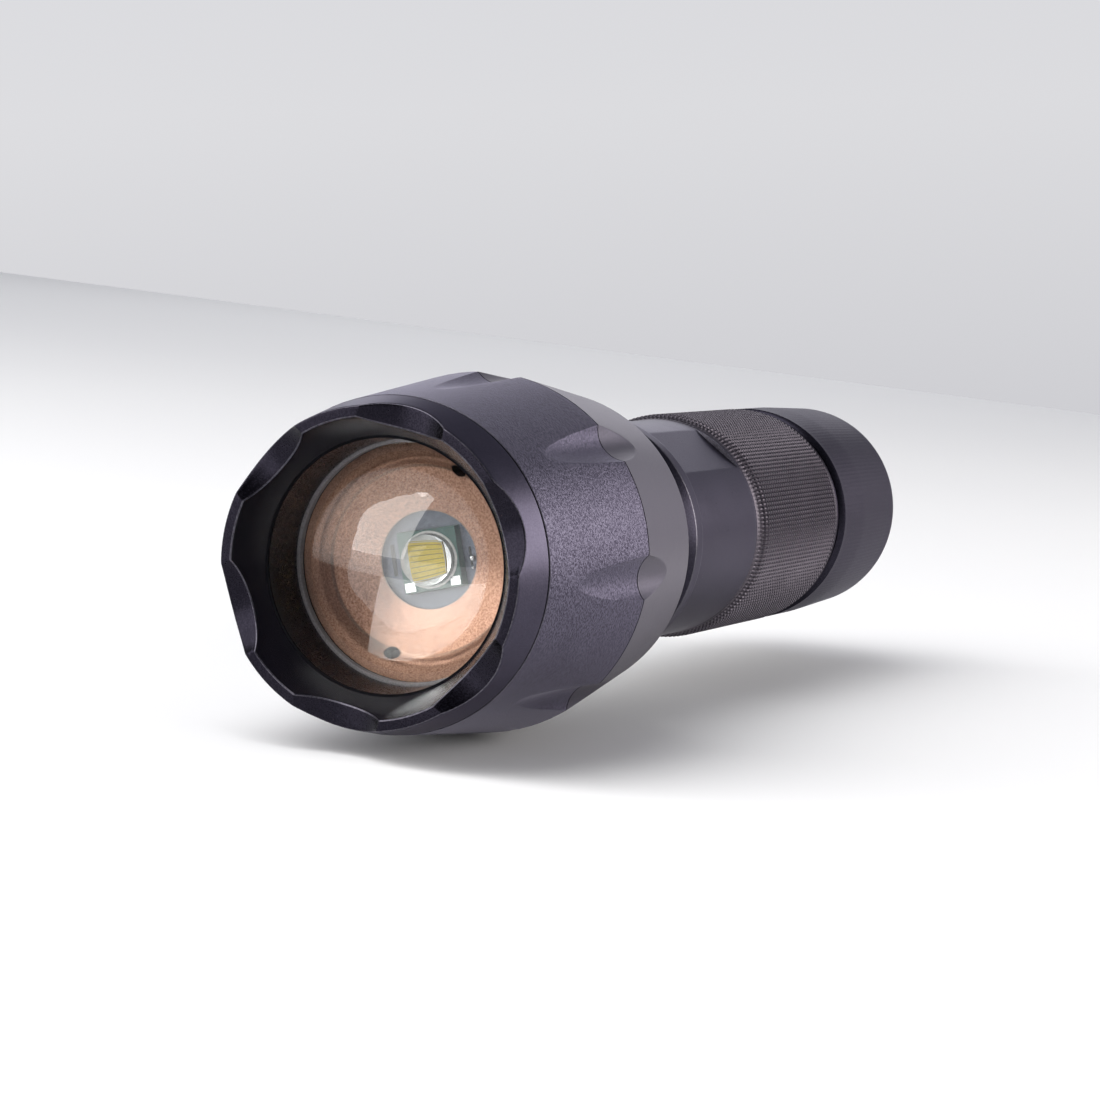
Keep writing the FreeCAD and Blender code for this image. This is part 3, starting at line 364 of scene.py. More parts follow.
# ------------------------------------------------------------------ bezel
TH_SC = math.radians(7.0)          # first scallop
RHO, DEP = 7.1, 2.0
CEN = DEP - RHO
HALF = math.sqrt(RHO ** 2 - CEN ** 2)


def outer_r(s):
    return 16.94 + (17.85 - 16.94) * (np.clip(s, 0, 5.95) - 0.25) / (5.95 - 0.25)


def inner_r(s):
    s = np.asarray(s, float)
    flare = 15.75 + (13.62 - 15.75) * s / 4.3
    bore = 13.42 + (13.15 - 13.42) * (s - 4.3) / 5.9
    return np.where(s < 4.3, flare, bore)


def bezel():
    nin, nout = 26, 18
    mats = [M_turned, M_inner, M_cut, M_edge_highlight, M_void, M_flare]
    # columns: per row the scallop's corner angle depends on the radius
    u_in = np.sin(np.linspace(-1, 1, nin + 1) * pi / 2)[:-1]
    u_out = np.linspace(0, 1, nout + 1)[:-1]

    def angles(r):
        phi = math.asin(min(0.999, HALF / r))
        out = []
        for k in range(6):
            c = TH_SC + k * pi / 3
            out += list(c + u_in * phi)
            out += list(c + phi + u_out * (pi / 3 - 2 * phi))
        return np.array(out)

    def delta(T):
        d = (T - TH_SC + pi / 6) % (pi / 3) - pi / 6
        return d

    def front(r, T):
        t = r * sin(delta(T))
        q = np.maximum(RHO ** 2 - t ** 2, CEN ** 2)
        return np.maximum(0.0, CEN + np.sqrt(q))

    T_o, T_i = angles(17.0), angles(15.5)
    s_o = front(17.0, T_o)
    for _ in range(4):
        s_o = front(outer_r(s_o), T_o)
    s_i = front(15.5, T_i)
    for _ in range(4):
        s_i = front(inner_r(s_i), T_i)
    rows, rmat = [], []

    def add(S, R, T, m):
        S = np.broadcast_to(np.asarray(S, float), T.shape).copy()
        R = np.broadcast_to(np.asarray(R, float), T.shape).copy()
        rows.append((S, R, T))
        rmat.append(m)

    # outside, from the joint forward to the rim
    end = 5.83
    add(5.95, 16.6, T_o, 0)
    add(5.95, 17.60, T_o, 0)
    add(5.95, 17.68, T_o, 4)
    add(5.90, 17.79, T_o, 4)
    add(end, outer_r(end), T_o, 0)
    for u in (0.97, 0.86, 0.72, 0.58, 0.44, 0.31, 0.2, 0.12, 0.06):
        s = s_o + 0.16 + u * (end - 0.16 - s_o)
        add(s, outer_r(s), T_o, 0)
    f = 0.11
    ro = outer_r(s_o)
    ri = inner_r(s_i)
    # the rim's outer and inner edge rows carry the painted edge highlight
    add(s_o + f, outer_r(s_o + f) - 0.004, T_o, 3)
    add(s_o + 0.38 * f, ro - 0.035, T_o, 3)
    add(s_o + 0.06 * f, ro - 0.085, T_o, 2)
    add(s_o, ro - 0.15, T_o, 2)
    # the land between outer and inner edges, ruled
    for w in (0.2, 0.4, 0.6, 0.8):
        T = T_o * (1 - w) + T_i * w
        r = (ro - 0.15) * (1 - w) + (ri + 0.12) * w
        add(front(r, T), r, T, 2)
    add(s_i, ri + 0.12, T_i, 3)
    add(s_i + 0.03 * f, ri + 0.06, T_i, 3)
    add(s_i + 0.4 * f, inner_r(s_i + 0.4 * f) + 0.012, T_i, 3)
    add(s_i + f, inner_r(s_i + f), T_i, 5)
    for u in (0.05, 0.12, 0.22, 0.35, 0.5, 0.66, 0.82, 0.96):
        s = s_i + f + u * (4.2 - f - s_i)
        add(s, inner_r(s), T_i, 5)
    add(4.22, 13.66, T_i, 4)
    add(4.27, 13.635, T_i, 4)
    add(4.30, 13.60, T_i, 4)
    add(4.30, 13.47, T_i, 4)
    add(4.34, 13.425, T_i, 4)
    for s in (4.5, 5.2, 6.5, 8.0, 9.4, 10.0):
        add(s, inner_r(s), T_i, 1)
    add(10.2, 13.15, T_i, 1)
    add(10.66, 13.15, T_i, 1)
    add(10.70, 13.19, T_i, 0)
    add(10.70, 16.55, T_o, 0)
    add(10.65, 16.60, T_o, 0)
    # spigot: fine thread ridges behind the seal groove
    n = 0
    s = 10.4
    while s > 8.75:
        add(s, 16.6, T_o, 0)
        add(s - 0.12, 16.34, T_o, 0)
        add(s - 0.24, 16.34, T_o, 0)
        add(s - 0.36, 16.6, T_o, 0)
        s -= 0.5
    for s, r in ((8.55, 16.6), (8.55, 15.55), (6.95, 15.55), (6.95, 16.6), (6.2, 16.6)):
        add(s, r, T_o, 0)
    S, R, T = (np.array([row[k] for row in rows]) for k in range(3))
    return grid("bezel_body", S, R, T, mats, rmat, sharp=30)


done(bezel(), "head", "anodised_black", "bezel_ring")


# ------------------------------------------------------------------ head
def head():
    mats = [M_blast, M_turned, M_rear, M_edge_highlight, M_void]
    rho, c0, tan = 3.4, 21.72, math.tan(math.radians(0.8))

    def cone(s):
        s = np.asarray(s, float)
        a = 17.9 + (20.0 - 17.9) * (s - 6.17) / (30.0 - 6.17)
        b = 20.0 + (17.45 - 20.0) * (s - 30.0) / (49.85 - 30.0)
        return softmin(a, b, 0.05) + 0.0

    def phi_of(s):
        c = c0 + s * tan
        R = float(cone(s))
        v = (c * c + R * R - rho * rho) / (2 * c * R)
        return math.acos(v) if v < 1 else 0.0

    tips = []
    ss = np.linspace(6.2, 49.8, 4000)
    on = [phi_of(s) > 0 for s in ss]
    first, last_ = ss[on.index(True)], ss[len(on) - 1 - on[::-1].index(True)]
    stations = set(np.round(np.arange(6.4, 49.6, 0.55), 3))
    for d in (0.0, 0.03, 0.08, 0.15, 0.25, 0.38, 0.55, 0.75, 1.0, 1.3, 1.65, 2.0, 2.5):
        stations.add(round(first + d, 3))
        stations.add(round(last_ - d, 3))
    for d in (0.05, 0.3, 0.8):
        stations.add(round(first - d, 3))
        stations.add(round(last_ + d, 3))
    for d in (-0.5, -0.26, -0.15, -0.11, -0.04, 0.0, 0.04, 0.08, 0.16, 0.28, 0.5):
        stations.add(round(30.0 + d, 3))
    stations = sorted(stations)
    kept = [stations[0]]
    for s in stations[1:]:
        if s - kept[-1] > 0.028:
            kept.append(s)
    stations = [6.21] + kept + [49.78]

    nin, nout = 16, 14
    edge = np.array([-1.0, -0.965, -0.90, -0.78, -0.62, -0.45, -0.28, -0.12])
    u_in = np.concatenate([edge, [0.0], -edge[::-1]])[:-1]
    u_o = np.array([0.0, 0.012, 0.04, 0.10, 0.2, 0.32, 0.44, 0.56, 0.68, 0.8, 0.90, 0.96, 0.988])

    def angles(s):
        p = phi_of(s)
        if s < first:
            p = math.radians(0.15) + (first - s) * math.radians(0.6)
        elif s > last_:
            p = math.radians(0.15) + (s - last_) * math.radians(0.6)
        p = max(p, math.radians(0.15))
        out = []
        for k in range(8):
            c = k * pi / 4
            out += list(c + u_in * p)
            out += list(c + p + u_o * (pi / 4 - 2 * p))
        return np.array(out)

    rows, rmat = [], []

    def add(s, r, T, m):
        rows.append((np.full(T.shape, float(s)), np.broadcast_to(np.asarray(r, float), T.shape).copy(), T))
        rmat.append(m)

    T0 = angles(6.2)
    add(6.05, 16.80, T0, 4)
    add(6.05, 17.72, T0, 4)
    add(6.06, 17.79, T0, 4)
    # edge rows here and at the rear end carry the painted edge highlight
    add(6.12, 17.84, T0, 3)
    for s in stations:
        T = angles(s)
        R = np.full(T.shape, float(cone(s)))
        c = c0 + s * tan
        d = (T + pi / 8) % (pi / 4) - pi / 8
        q = rho ** 2 - (c * sin(d)) ** 2
        cut = np.where(q > 0, c * cos(d) - np.sqrt(np.maximum(q, 0)), 99.0)
        if first <= s <= last_:
            R = np.where(cut < 90, softmin(R, cut, 0.03), R)
        line = -0.12 < s - 30.0 < 0.06
        if line:
            R = R - 0.055
        add(s, R, T, 4 if line else (0 if s < 30.0 else 2))
    Te = angles(49.8)
    add(49.9, 17.425, Te, 0)
    add(50.05, 17.33, Te, 3)
    add(50.15, 17.22, Te, 3)
    add(50.20, 17.10, Te, 1)
    add(50.20, 16.2, Te, 1)
    add(50.20, 14.3, Te, 1)
    add(50.18, 14.12, Te, 3)
    add(49.62, 13.55, Te, 1)
    add(49.58, 13.52, Te, 1)
    add(46.2, 13.52, Te, 1)
    add(46.2, 16.0, Te, 1)
    add(46.1, 16.0, Te, 1)
    add(36.0, 16.0, Te, 1)
    add(14.0, 16.0, T0, 1)
    add(13.9, 16.0, T0, 1)
    add(13.9, 16.75, T0, 1)
    s = 13.3
    while s > 8.6:
        add(s, 16.75, T0, 1)
        add(s - 0.12, 16.98, T0, 1)
        add(s - 0.24, 16.98, T0, 1)
        add(s - 0.36, 16.75, T0, 1)
        s -= 0.5
    add(8.4, 16.75, T0, 1)
    add(6.15, 16.75, T0, 1)
    S, R, T = (np.array([row[k] for row in rows]) for k in range(3))
    return grid("head_body", S, R, T, mats, rmat, sharp=30)


done(head(), "head", "anodised_black", "head_sleeve")


# ------------------------------------------------------------------ barrel
def barrel():
    mats = [M_waist, M_knurl, M_edge_highlight, M_blast, M_turned]
    N = 480
    T0 = np.arange(N) / N * 2 * pi
    rows, rmat = [], []

    def add(s, r, m=0):
        S = np.broadcast_to(np.asarray(s, float), T0.shape).copy()
        R = np.broadcast_to(np.asarray(r, float), T0.shape).copy()
        rows.append((S, R, T0))
        rmat.append(m)

    flats = [math.radians(33.0), math.radians(213.0)]

    def flatten(R):
        R = np.full(T0.shape, float(R))
        for f in flats:
            d = (T0 - f + pi) % (2 * pi) - pi
            lim = np.where(np.abs(d) < 1.2, 12.8 / np.maximum(cos(d), 0.3), 99.0)
            R = softmin(R, lim, 0.012)
        return R

    add(32.0, 13.06)
    add(32.4, 13.46)
    for s in (32.6, 38.0, 44.0, 50.0, 55.0, 57.3, 57.44):
        add(s, 13.46)
    add(57.56, 13.50)
    for s in (57.7, 58.5, 59.4, 60.1):
        add(s, 13.46 + (14.75 - 13.46) * (s - 57.5) / 2.8)
    # collar, flat and thread-end edge rows marked 2 carry the painted edge highlight
    add(60.22, 14.70, 2)
    add(60.30, 14.735, 2)
    add(60.40, 14.75)
    for s in (60.6, 61.5, 62.2):
        add(s, 14.75)
    add(62.36, 14.75, 2)
    add(62.46, 14.71, 2)
    add(62.50, 14.61)
    add(62.50, 13.75)
    add(62.52, 13.50)
    add(62.60, 13.36)
    add(62.80, 13.30)
    for s in (63.1, 64.0, 64.55):
        add(s, 13.3)
    # the flats end in small steps
    add(64.59, 13.3, 2)
    add(64.62, flatten(13.3), 0)
    for s in (64.8, 67.0, 70.0, 74.0, 78.0, 82.0, 85.6, 85.95):
        add(s, flatten(13.3))
    add(85.98, flatten(13.3), 2)
    add(86.02, 13.3, 0)
    for s in (86.15, 86.4):
        add(s, 13.3, 0)

    # knurl: square pyramids with flat tops, 160 round; they run out on the front chamfer
    cell = 0.9
    col = np.arange(N) % 3            # 0 is the valley line, 1 and 2 the plateau
    depth = 0.23
    base = 86.55
    marks = []
    k = 0
    while base + k * cell < 117.35:
        for j, f in enumerate((0.0, 0.30, 0.70)):
            s = base + (k + f) * cell
            if s < 117.4:
                marks.append((s, j > 0))
        k += 1
    for s, plateau in marks:
        crest = 13.3 + (13.95 - 13.3) * min(1.0, (s - 86.5) / 2.8)
        floor = crest - depth * min(1.0, max(0.0, (s - 86.5) / 1.6))
        top = (col > 0) & plateau
        jag = crest
        R = np.where(top, jag, floor)
        add(s, R, 1)
    add(117.48, 13.90, 0)
    add(117.56, 13.85, 0)
    add(117.9, 13.45, 0)
    add(118.06, 13.24, 4)
    add(118.15, 13.2, 4)
    for s in (118.4, 119.2, 120.0, 120.2):
        add(s, 13.2, 4)
    add(120.2, 12.9, 0)
    add(120.22, 12.88, 0)
    for s, r in ((120.6, 12.88), (120.95, 12.88), (120.95, 11.72), (122.35, 11.72), (122.35, 11.95), (122.5, 11.95)):
        add(s, r)
    # helical thread
    for s in np.arange(122.95, 128.85, 0.125):
        ph = ((s - 123.0) / 1.5 - T0 / (2 * pi)) % 1.0
        tri = np.clip((0.5 - np.abs(ph - 0.5)) * 3.4 - 0.35, 0, 1)
        fade = min(1.0, (s - 122.95) / 0.5, (128.85 - s) / 0.4)
        add(s, 11.95 + 0.53 * tri * max(0.0, fade), 3)
    add(128.9, 11.95)
    add(129.0, 11.85, 2)
    add(129.0, 11.0, 2)
    add(128.92, 10.9)
    for s, r in ((110.0, 10.9), (80.0, 10.9), (50.0, 10.9), (43.6, 10.9), (42.0, 12.3), (41.0, 12.3), (34.0, 12.3),
                 (32.3, 12.3), (32.0, 12.6)):
        add(s, r)
    S, R, T = (np.array([row[k] for row in rows]) for k in range(3))
    return grid("barrel_body", S, R, T, mats, rmat, sharp=24)


done(barrel(), "barrel", "anodised_black", "barrel")


# ------------------------------------------------------------------ tail cap
def tail_cap():
    mats = [M_tail, M_waist, M_edge_highlight, M_tail]
    N = 480
    T0 = np.arange(N) / N * 2 * pi
    rows, rmat = [], []

    def add(s, r, m=0):
        rows.append((np.full(T0.shape, float(s)), np.broadcast_to(np.asarray(r, float), T0.shape).copy(), T0))
        rmat.append(m)

    def body_r(s):
        return 13.9 if s < 129.4 else 13.9 + (13.45 - 13.9) * (s - 129.4) / (144.2 - 129.4)

    add(120.4, 13.0, 1)
    add(120.4, 13.25, 1)
    add(120.5, 13.42, 1)
    add(120.95, 13.84, 1)
    add(121.05, 13.9, 0)
    # fine axial fluting, faint
    fine = np.where(np.arange(N) % 3 == 0, 0.035, 0.0)
    for s in (121.2, 121.35):
        add(s, body_r(s), 0)
    for s in list(np.arange(121.5, 143.9, 0.9)):
        add(s, body_r(s) - fine, 3)
    add(144.0, body_r(144.0), 0)
    # rounded rim at the back; its middle rows carry the painted edge highlight
    for k in range(6):
        a = k / 5 * pi / 2
        add(144.2 + 1.1 * math.sin(a) * 0.98, 13.45 - 1.1 * (1 - math.cos(a)), 2 if k in (1, 2, 3) else 1)
    add(145.3, 12.2, 1)
    add(145.3, 10.2, 1)
    add(145.3, 9.55, 2)
    add(145.24, 9.42, 2)
    add(144.85, 8.95, 1)
    add(144.75, 8.9, 1)
    add(142.0, 8.9, 1)
    add(140.7, 8.9, 1)
    add(140.6, 8.8, 1)
    add(140.6, 7.6, 1)
    add(140.56, 7.5, 1)
    for s, r in ((139.2, 7.5), (139.2, 11.2), (134.0, 11.2), (129.1, 11.2), (129.1, 12.6)):
        add(s, r, 1)
    for s in np.arange(128.9, 122.9, -0.25):
        ph = ((s - 123.0) / 1.5 - T0 / (2 * pi)) % 1.0
        tri = np.clip((np.abs(ph - 0.5)) * 3.4 - 0.9, 0, 1)
        add(s, 12.6 + 0.12 * (1 - tri), 1)
    for s, r in ((122.7, 12.6), (122.7, 12.95), (120.5, 12.95)):
        add(s, r, 1)
    S, R, T = (np.array([row[k] for row in rows]) for k in range(3))
    ob = grid("tail_cap_body", S, R, T, mats, rmat, sharp=30)
    # lanyard hole through the rim on the far side
    bpy.ops.mesh.primitive_cylinder_add(vertices=40, radius=0.00115, depth=0.0075,
                                        location=(-0.0113, Y(142.9), 0), rotation=(0, pi / 2, 0))
    cut = bpy.context.object
    md = ob.modifiers.new("hole", "BOOLEAN")
    md.operation = "DIFFERENCE"
    md.solver = "EXACT"
    md.object = cut
    bpy.context.view_layer.update()
    dg = bpy.context.evaluated_depsgraph_get()
    me = bpy.data.meshes.new_from_object(ob.evaluated_get(dg))
    ob.modifiers.clear()
    ob.data = me
    bpy.data.objects.remove(cut)
    me.polygons.foreach_set("use_smooth", [True] * len(me.polygons))
    me.set_sharp_from_angle(angle=math.radians(30))
    return ob


done(tail_cap(), "tail_cap", "anodised_black", "tail_cap")

# ------------------------------------------------------------------ rubber boot
boot = lathe("boot_skin", [
    (138.25, 6.1, 0.1), (143.1, 6.1, 0.5), (143.55, 5.2, 0.4), (143.55, 0.0, 0),
    (144.75, 0.0, 0), (144.73, 3.0, 0), (144.5, 5.0, 0.6), (143.75, 6.6, 0.6), (142.2, 7.2, 0.6), (140.9, 7.25, 0.05),
    (139.18, 7.25, 0.05), (139.18, 10.95, 0.15), (138.25, 10.95, 0.1)], cols=120, mats=[M_rubber], steps=5)
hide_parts("switch_boot")
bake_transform(boot)


# small grip dots in rings on the boot's crown
def crown_marks():
    co, faces = [], []

    def dot(x, z, y0, r, h):
        n, o = 10, len(co)
        for lvl, (rr, hh) in enumerate(((r, -0.04), (r * 0.86, h * 0.7), (r * 0.5, h))):
            for k in range(n):
                a = 2 * pi * k / n
                co.append(((x + rr * math.sin(a)) * 1e-3, Y(y0 + hh), (z + rr * math.cos(a)) * 1e-3))
        co.append((x * 1e-3, Y(y0 + h * 1.05), z * 1e-3))
        co.append((x * 1e-3, Y(y0 - 0.04), z * 1e-3))
        for lvl in range(2):
            for k in range(n):
                k2 = (k + 1) % n
                faces.append((o + lvl * n + k, o + lvl * n + k2, o + (lvl + 1) * n + k2, o + (lvl + 1) * n + k))
        for k in range(n):
            faces.append((o + 2 * n + k, o + 2 * n + (k + 1) % n, o + 3 * n))
            faces.append((o + (k + 1) % n, o + k, o + 3 * n + 1))

    for ring_r, count in ((0.0, 1), (1.25, 6), (2.5, 12)):
        for k in range(count):
            a = 2 * pi * k / count
            dot(ring_r * math.sin(a), ring_r * math.cos(a), 144.72, 0.36, 0.16)
    return make("boot_grip_dots", co, faces, [M_rubber])


done(crown_marks(), "switch", "boot_rubber")

# a copy of the return spring, baked in place
spring = bpy.data.objects.new("return_spring_coil", NODES["return_spring"].data.copy())
bpy.context.scene.collection.objects.link(spring)
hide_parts("return_spring")
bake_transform(spring)


# ------------------------------------------------------------------ bronze disc
def disc():
    mats = [M_bronze, M_bronze_dark, M_edge_bronze]
    holes = [math.radians(14.0), math.radians(194.0)]
    prof = [
        (16.5, 4.3, 1), (15.98, 4.07, 1), (15.93, 4.10, 2), (15.92, 4.20, 0),
    ]
    # dish from the window out to the foot, then a rolled rim and the outer slope
    for r in np.linspace(4.4, 8.1, 15):
        w = (r - 4.2) / (8.2 - 4.2)
        prof.append((15.92 + (15.35 - 15.92) * w, r, 0))
    prof += [(15.335, 8.22, 2), (15.29, 8.34, 2), (15.20, 8.52, 0)]
    for k in range(15):
        a = k / 14
        r = 8.62 + (12.6 - 8.62) * a
        # crest between about 9.8 and 11.6
        if r < 10.0:
            s = 15.16 + (14.52 - 15.16) * math.sin((r - 8.62) / (10.0 - 8.62) * pi / 2)
        elif r < 11.4:
            s = 14.50 + 0.02 * abs((r - 10.7) / 0.7)
        else:
            w = (r - 11.4) / 2.05
            s = 14.52 + 0.63 * (1 - math.cos(min(1, w) * pi / 2))
        prof.append((s, r, 0))
    prof += [(15.02, 13.1, 0), (15.10, 13.32, 2), (15.17, 13.42, 2), (15.25, 13.45, 0), (16.5, 13.45, 1), (17.9, 13.45, 1),
             (17.9, 12.6, 1), (16.5, 12.6, 1)]
    N = 360
    T0 = np.arange(N) / N * 2 * pi
    S = np.array([[p[0]] * N for p in prof])
    R = np.array([[p[1]] * N for p in prof])
    T = np.array([T0] * len(prof))
    ob = grid("bronze_disc", S, R, T, mats, [p[2] for p in prof], sharp=34)
    cutters = []
    for h in holes:
        bpy.ops.mesh.primitive_cylinder_add(
            vertices=36, radius=0.0007, depth=0.0026,
            location=(0.0087 * math.sin(h), Y(15.1), 0.0087 * math.cos(h)), rotation=(pi / 2, 0, 0))
        c = bpy.context.object
        # the cutters pass the painted-shade material on to the hole walls
        c.data.materials.append(M_hole_shade)
        cutters.append(c)
    for c in cutters:
        md = ob.modifiers.new("hole", "BOOLEAN")
        md.operation = "DIFFERENCE"
        md.solver = "EXACT"
        md.object = c
        try:
            md.material_mode = "TRANSFER"
        except Exception:
            pass
    bpy.context.view_layer.update()
    me = bpy.data.meshes.new_from_object(ob.evaluated_get(bpy.context.evaluated_depsgraph_get()))
    ob.modifiers.clear()
    ob.data = me
    for c in cutters:
        bpy.data.objects.remove(c)
    me.polygons.foreach_set("use_smooth", [True] * len(me.polygons))
    me.set_sharp_from_angle(angle=math.radians(34))
    return ob


M_bronze_dark = surface("bronze_inner", (0.10, 0.055, 0.04), (0.22, 0.12, 0.085), 1.0, 0.42, grain=5200, grain_bump=0.3)
M_edge_bronze = surface("bronze_edge", (0.26, 0.155, 0.11), (0.46, 0.30, 0.22), 1.0, 0.36, grain=5200, grain_bump=0.2)
# painted shade: a much darker bronze for the spanner holes' walls and floors
M_hole_shade = surface("bronze_hole_painted_shade", (0.035, 0.020, 0.016), (0.09, 0.05, 0.035), 0.8, 0.5, grain=4000, grain_bump=0.3)
done(disc(), "barrel", "bronze_anodised", "led_cover_disc")

# thin worn burrs round the spanner holes
for n, h in enumerate((math.radians(14.0), math.radians(194.0))):
    cx, cz = 8.7 * math.sin(h), 8.7 * math.cos(h)
    seg, co, faces = 40, [], []
    for k in range(seg):
        a = 2 * pi * k / seg
        for rr, ds in ((0.70, 0.03), (0.73, -0.025), (0.79, -0.02), (0.83, 0.03)):
            x, z = cx + rr * math.sin(a), cz + rr * math.cos(a)
            r = math.hypot(x, z)
            if r < 8.2:
                s = 15.92 + (15.35 - 15.92) * (r - 4.2) / 4.0
            elif r < 8.62:
                s = 15.35 + (15.16 - 15.35) * (r - 8.2) / 0.42
            else:
                s = 15.16 + (14.52 - 15.16) * math.sin(min(1.0, (r - 8.62) / 1.38) * pi / 2)
            co.append((x * 1e-3, Y(s + ds), z * 1e-3))
    for k in range(seg):
        k2 = (k + 1) % seg
        for j in range(4):
            j2 = (j + 1) % 4
            faces.append((k * 4 + j, k2 * 4 + j, k2 * 4 + j2, k * 4 + j2))
    done(make("spanner_hole_lip_%d" % n, co, faces, [M_edge_bronze]), "barrel", "bronze_anodised")

# ------------------------------------------------------------------ lens and its ring
lens = lathe("lens_body", [(5.90088, 0.0, 0)] + [
    (22.90088 - math.sqrt(17.0 ** 2 - r ** 2), r, 0) for r in np.linspace(0.0, 12.7, 60)[1:]] + [
    (11.6, 12.72, 0), (11.6, 14.2, 0.1), (13.1, 14.2, 0.1), (13.1, 0.0, 0)], cols=240, mats=[M_glass], sharp=25)
done(lens, "head", "lens_clear", "lens")
ringed = lathe("lens_ring", [(10.75, 12.80, 0.08), (11.58, 12.78, 0.02), (11.58, 14.2, 0.05), (10.75, 14.2, 0.08)],
               cols=180, mats=[M_ring])
done(ringed, "head", "gasket_grey", "lens_gasket")


# ------------------------------------------------------------------ LED details
def box_mesh(co, faces, cx, cz, w, h, s0, s1, ang, bev=0.03):
    o = len(co)
    ca, sa = math.cos(ang), math.sin(ang)
    for s, k in ((s1, 0.0), (s0 + bev, 0.0), (s0, bev)):
        for dx, dz in ((-1, -1), (1, -1), (1, 1), (-1, 1)):
            x, z = cx + dx * (w / 2 - k), cz + dz * (h / 2 - k)
            co.append(((x * ca + z * sa) * 1e-3, Y(s), (-x * sa + z * ca) * 1e-3))
    faces.append((o, o + 1, o + 2, o + 3))
    faces.append((o + 8, o + 9, o + 10, o + 11))
    for l in (0, 4):
        for k in range(4):
            k2 = (k + 1) % 4
            faces.append((o + l + k, o + l + k2, o + l + 4 + k2, o + l + 4 + k))


TURN = math.radians(-16.0)


def plates(name, items, mat, body="barrel", slot="solder_silver"):
    co, faces = [], []
    for it in items:
        box_mesh(co, faces, *it)
    return done(make(name, co, faces, [mat]), body, slot)


field = lathe("led_white_ring", [(15.925, 1.66, 0.005), (15.89, 1.70, 0.005), (15.89, 2.33, 0.01), (15.945, 2.40, 0.005),
                                 (15.948, 1.66, 0.005)], cols=120, mats=[M_white])
done(field, "barrel", "sleeve_white")
under = lathe("led_white_floor", [(15.935, 0.0, 0), (15.935, 1.68, 0.003), (15.949, 1.68, 0.003), (15.949, 0.0, 0)], cols=96,
              mats=[M_white])
done(under, "barrel", "sleeve_white")
dome = lathe("led_dome_skin", [(15.88 - 2.22 * math.cos(a), 2.22 * math.sin(a), 0) for a in np.linspace(0, pi / 2, 34)] + [
    (15.89, 2.22, 0), (15.89, 0.0, 0)], cols=96, mats=[M_dome], sharp=40)
done(dome, "barrel", "clear_silicone", "led_dome")
plates("die_fingers", [(0.0, z, 2.10, 0.055, 15.822, 15.84, TURN, 0.004) for z in np.linspace(-0.92, 0.92, 7)],
       M_stripe, slot="phosphor_yellow")
plates("die_frame", [(0.0, 1.13, 2.3, 0.05, 15.82, 15.84, TURN, 0.004), (0.0, -1.13, 2.3, 0.05, 15.82, 15.84, TURN, 0.004),
                     (-1.13, 0.0, 0.05, 2.2, 15.82, 15.84, TURN, 0.004),
                     (1.13, 0.0, 0.05, 2.2, 15.82, 15.84, TURN, 0.004)], M_white, slot="phosphor_yellow")
plates("star_slot", [(-3.28, 0.35, 0.34, 2.5, 16.535, 16.56, TURN, 0.008), (3.10, -0.2, 0.22, 1.6, 16.535, 16.56, TURN, 0.008)],
       M_housing, slot="star_board_blue")


def bead(name, cx, cz, r, h, base):
    co, faces, n, m = [], [], 20, 6
    for j in range(m):
        a = j / m * pi / 2
        for k in range(n):
            t = 2 * pi * k / n
            wob = 1 + 0.06 * math.sin(3 * t)
            co.append(((cx + r * wob * math.cos(a) * math.sin(t)) * 1e-3, Y(base - h * math.sin(a)),
                       (cz + r * wob * math.cos(a) * math.cos(t)) * 1e-3))
    co.append((cx * 1e-3, Y(base - h), cz * 1e-3))
    for j in range(m - 1):
        for k in range(n):
            k2 = (k + 1) % n
            faces.append((j * n + k, j * n + k2, (j + 1) * n + k2, (j + 1) * n + k))
    for k in range(n):
        faces.append(((m - 1) * n + k, (m - 1) * n + (k + 1) % n, m * n))
    faces.append(tuple(range(n)))
    return done(make(name, co, faces, [M_solder]), "barrel", "solder_silver")


bead("solder_bead_right", 3.30, 0.55, 0.30, 0.36, 16.53)
bead("solder_bead_low", 3.42, -0.25, 0.17, 0.2, 16.53)

# ------------------------------------------------------------------ stage, light, camera
me = bpy.data.meshes.new("floor")
me.from_pydata([(-1.2, -1.2, 0), (1.2, -1.2, 0), (1.2, 0.75, 0), (-1.2, 0.75, 0)], [], [(0, 1, 2, 3)])
floor = bpy.data.objects.new("floor", me)
floor.location = (0, 0, -0.02005)
bpy.context.scene.collection.objects.link(floor)
fm, fnt, fb = new_mat("floor_paper")
fb.inputs["Roughness"].default_value = 0.9
fb.inputs["Specular IOR Level"].default_value = 0.1
fcol = ramp(fnt, noise(fnt, coords(fnt), 3.0, 2.0), [(0.3, (0.93, 0.93, 0.935)), (0.7, (0.95, 0.95, 0.95))])
fnt.links.new(fcol, fb.inputs["Base Color"])
floor.data.materials.append(fm)

world = bpy.data.worlds.new("studio")
bpy.context.scene.world = world
world.use_nodes = True
wn = world.node_tree
bg = wn.nodes["Background"]
tc = wn.nodes.new("ShaderNodeTexCoord")


def dotted(vec):
    d = wn.nodes.new("ShaderNodeVectorMath")
    d.operation = "DOT_PRODUCT"
    d.inputs[1].default_value = tuple(vec)
    wn.links.new(tc.outputs["Generated"], d.inputs[0])
    return d.outputs["Value"]


def wramp(fac, stops):
    r = wn.nodes.new("ShaderNodeValToRGB")
    while len(r.color_ramp.elements) < len(stops):
        r.color_ramp.elements.new(0.5)
    for e, (p, c) in zip(r.color_ramp.elements, stops):
        e.position = p
        e.color = (*c, 1.0)
    wn.links.new(fac, r.inputs["Fac"])
    return r.outputs["Color"]


height = wn.nodes.new("ShaderNodeMath")
height.operation = "MULTIPLY_ADD"
wn.links.new(dotted(UP), height.inputs[0])
height.inputs[1].default_value = 0.5
height.inputs[2].default_value = 0.5
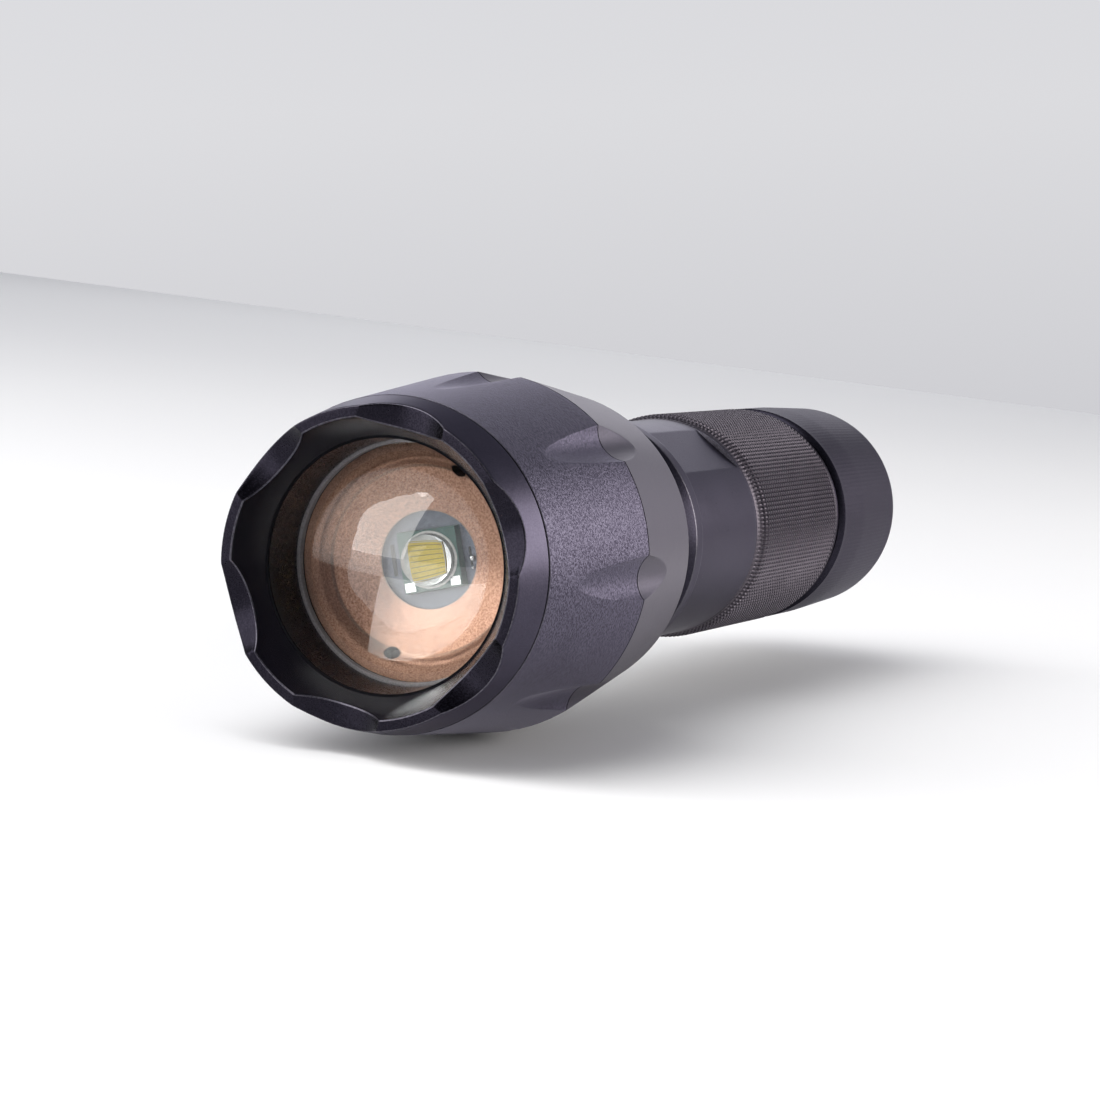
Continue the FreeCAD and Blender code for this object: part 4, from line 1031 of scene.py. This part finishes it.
# 0.5 is the horizon; 1.0 is overhead
sky = wramp(height.outputs[0], [(0.0, (0.60, 0.60, 0.63)), (0.32, (1.0, 1.0, 1.0)), (0.47, (0.80, 0.80, 0.82)), (0.53, (1.0, 1.0, 1.0)),
                                (0.62, (0.92, 0.93, 0.96)), (0.72, (0.36, 0.37, 0.41)), (0.86, (0.20, 0.205, 0.235)),
                                (1.0, (0.30, 0.305, 0.33))])
ahead = wn.nodes.new("ShaderNodeMath")
ahead.operation = "MULTIPLY_ADD"
wn.links.new(dotted((0.25, -0.968, 0.0)), ahead.inputs[0])
ahead.inputs[1].default_value = 0.5
ahead.inputs[2].default_value = 0.5
room = wramp(ahead.outputs[0], [(0.0, (0.62, 0.62, 0.64)), (0.12, (0.70, 0.70, 0.72)), (0.30, (1.0, 1.0, 1.0)), (0.55, (0.95, 0.95, 0.95)), (0.78, (0.17, 0.17, 0.19)),
                                (1.0, (0.10, 0.10, 0.12))])
both = wn.nodes.new("ShaderNodeMix")
both.data_type = "RGBA"
both.blend_type = "MULTIPLY"
both.inputs[0].default_value = 1.0
wn.links.new(sky, both.inputs[6])
wn.links.new(room, both.inputs[7])
wn.links.new(both.outputs[2], bg.inputs["Color"])
bg.inputs["Strength"].default_value = 1.15


def rolled(v):
    """A point or direction given with the torch upright as it is seen, turned into the frame."""
    x, y, z = v
    c, s = math.cos(-ROLL), math.sin(-ROLL)
    return Vector((x * c - z * s, y, z * c + x * s))


def softbox(name, at, target, size, power, colour=(1, 1, 1), size_y=None):
    ld = bpy.data.lights.new(name, "AREA")
    ld.shape = "RECTANGLE"
    ld.size = size
    ld.size_y = size_y or size
    ld.energy = power
    ld.color = colour
    ob = bpy.data.objects.new(name, ld)
    p, t = rolled(at), rolled(target)
    ob.location = p
    ob.rotation_euler = (t - p).to_track_quat("-Z", "Y").to_euler()
    bpy.context.scene.collection.objects.link(ob)
    return ob


TGT = (0, -0.06, 0)
softbox("key_above", (-0.10, -0.30, 0.75), TGT, 0.6, 4.0)
softbox("window_front_left", (-0.47, -0.745, 0.45), (0, -0.095, 0), 0.95, 9.5, (1.0, 0.99, 0.97), 0.95)
softbox("side_right", (0.57, 0.43, 0.12), TGT, 0.5, 2.8, (1.0, 0.955, 0.90), 0.35)
softbox("behind_low", (-0.27, 0.85, 0.30), TGT, 0.5, 0.42, (0.97, 0.98, 1.0), 0.22)

cam_d = bpy.data.cameras.new("camera")
cam_d.lens = 125.85
cam_d.sensor_width = 36.0
cam_d.clip_start = 0.01
cam_d.clip_end = 50.0
cam = bpy.data.objects.new("camera", cam_d)
right = rolled((0.92912643, 0.36918612, -0.02063235))
up = rolled((0.0, 0.05579897, 0.99844202))
back = rolled((0.3697622, -0.92767887, 0.05184429))
at = rolled((0.16433, -0.46466, 0.02214))
cam.matrix_world = Matrix(((right.x, up.x, back.x, at.x), (right.y, up.y, back.y, at.y),
                           (right.z, up.z, back.z, at.z), (0, 0, 0, 1)))
bpy.context.scene.collection.objects.link(cam)
bpy.context.scene.camera = cam
bpy.context.scene.view_settings.view_transform = "Standard"
bpy.context.scene.view_settings.look = "None"
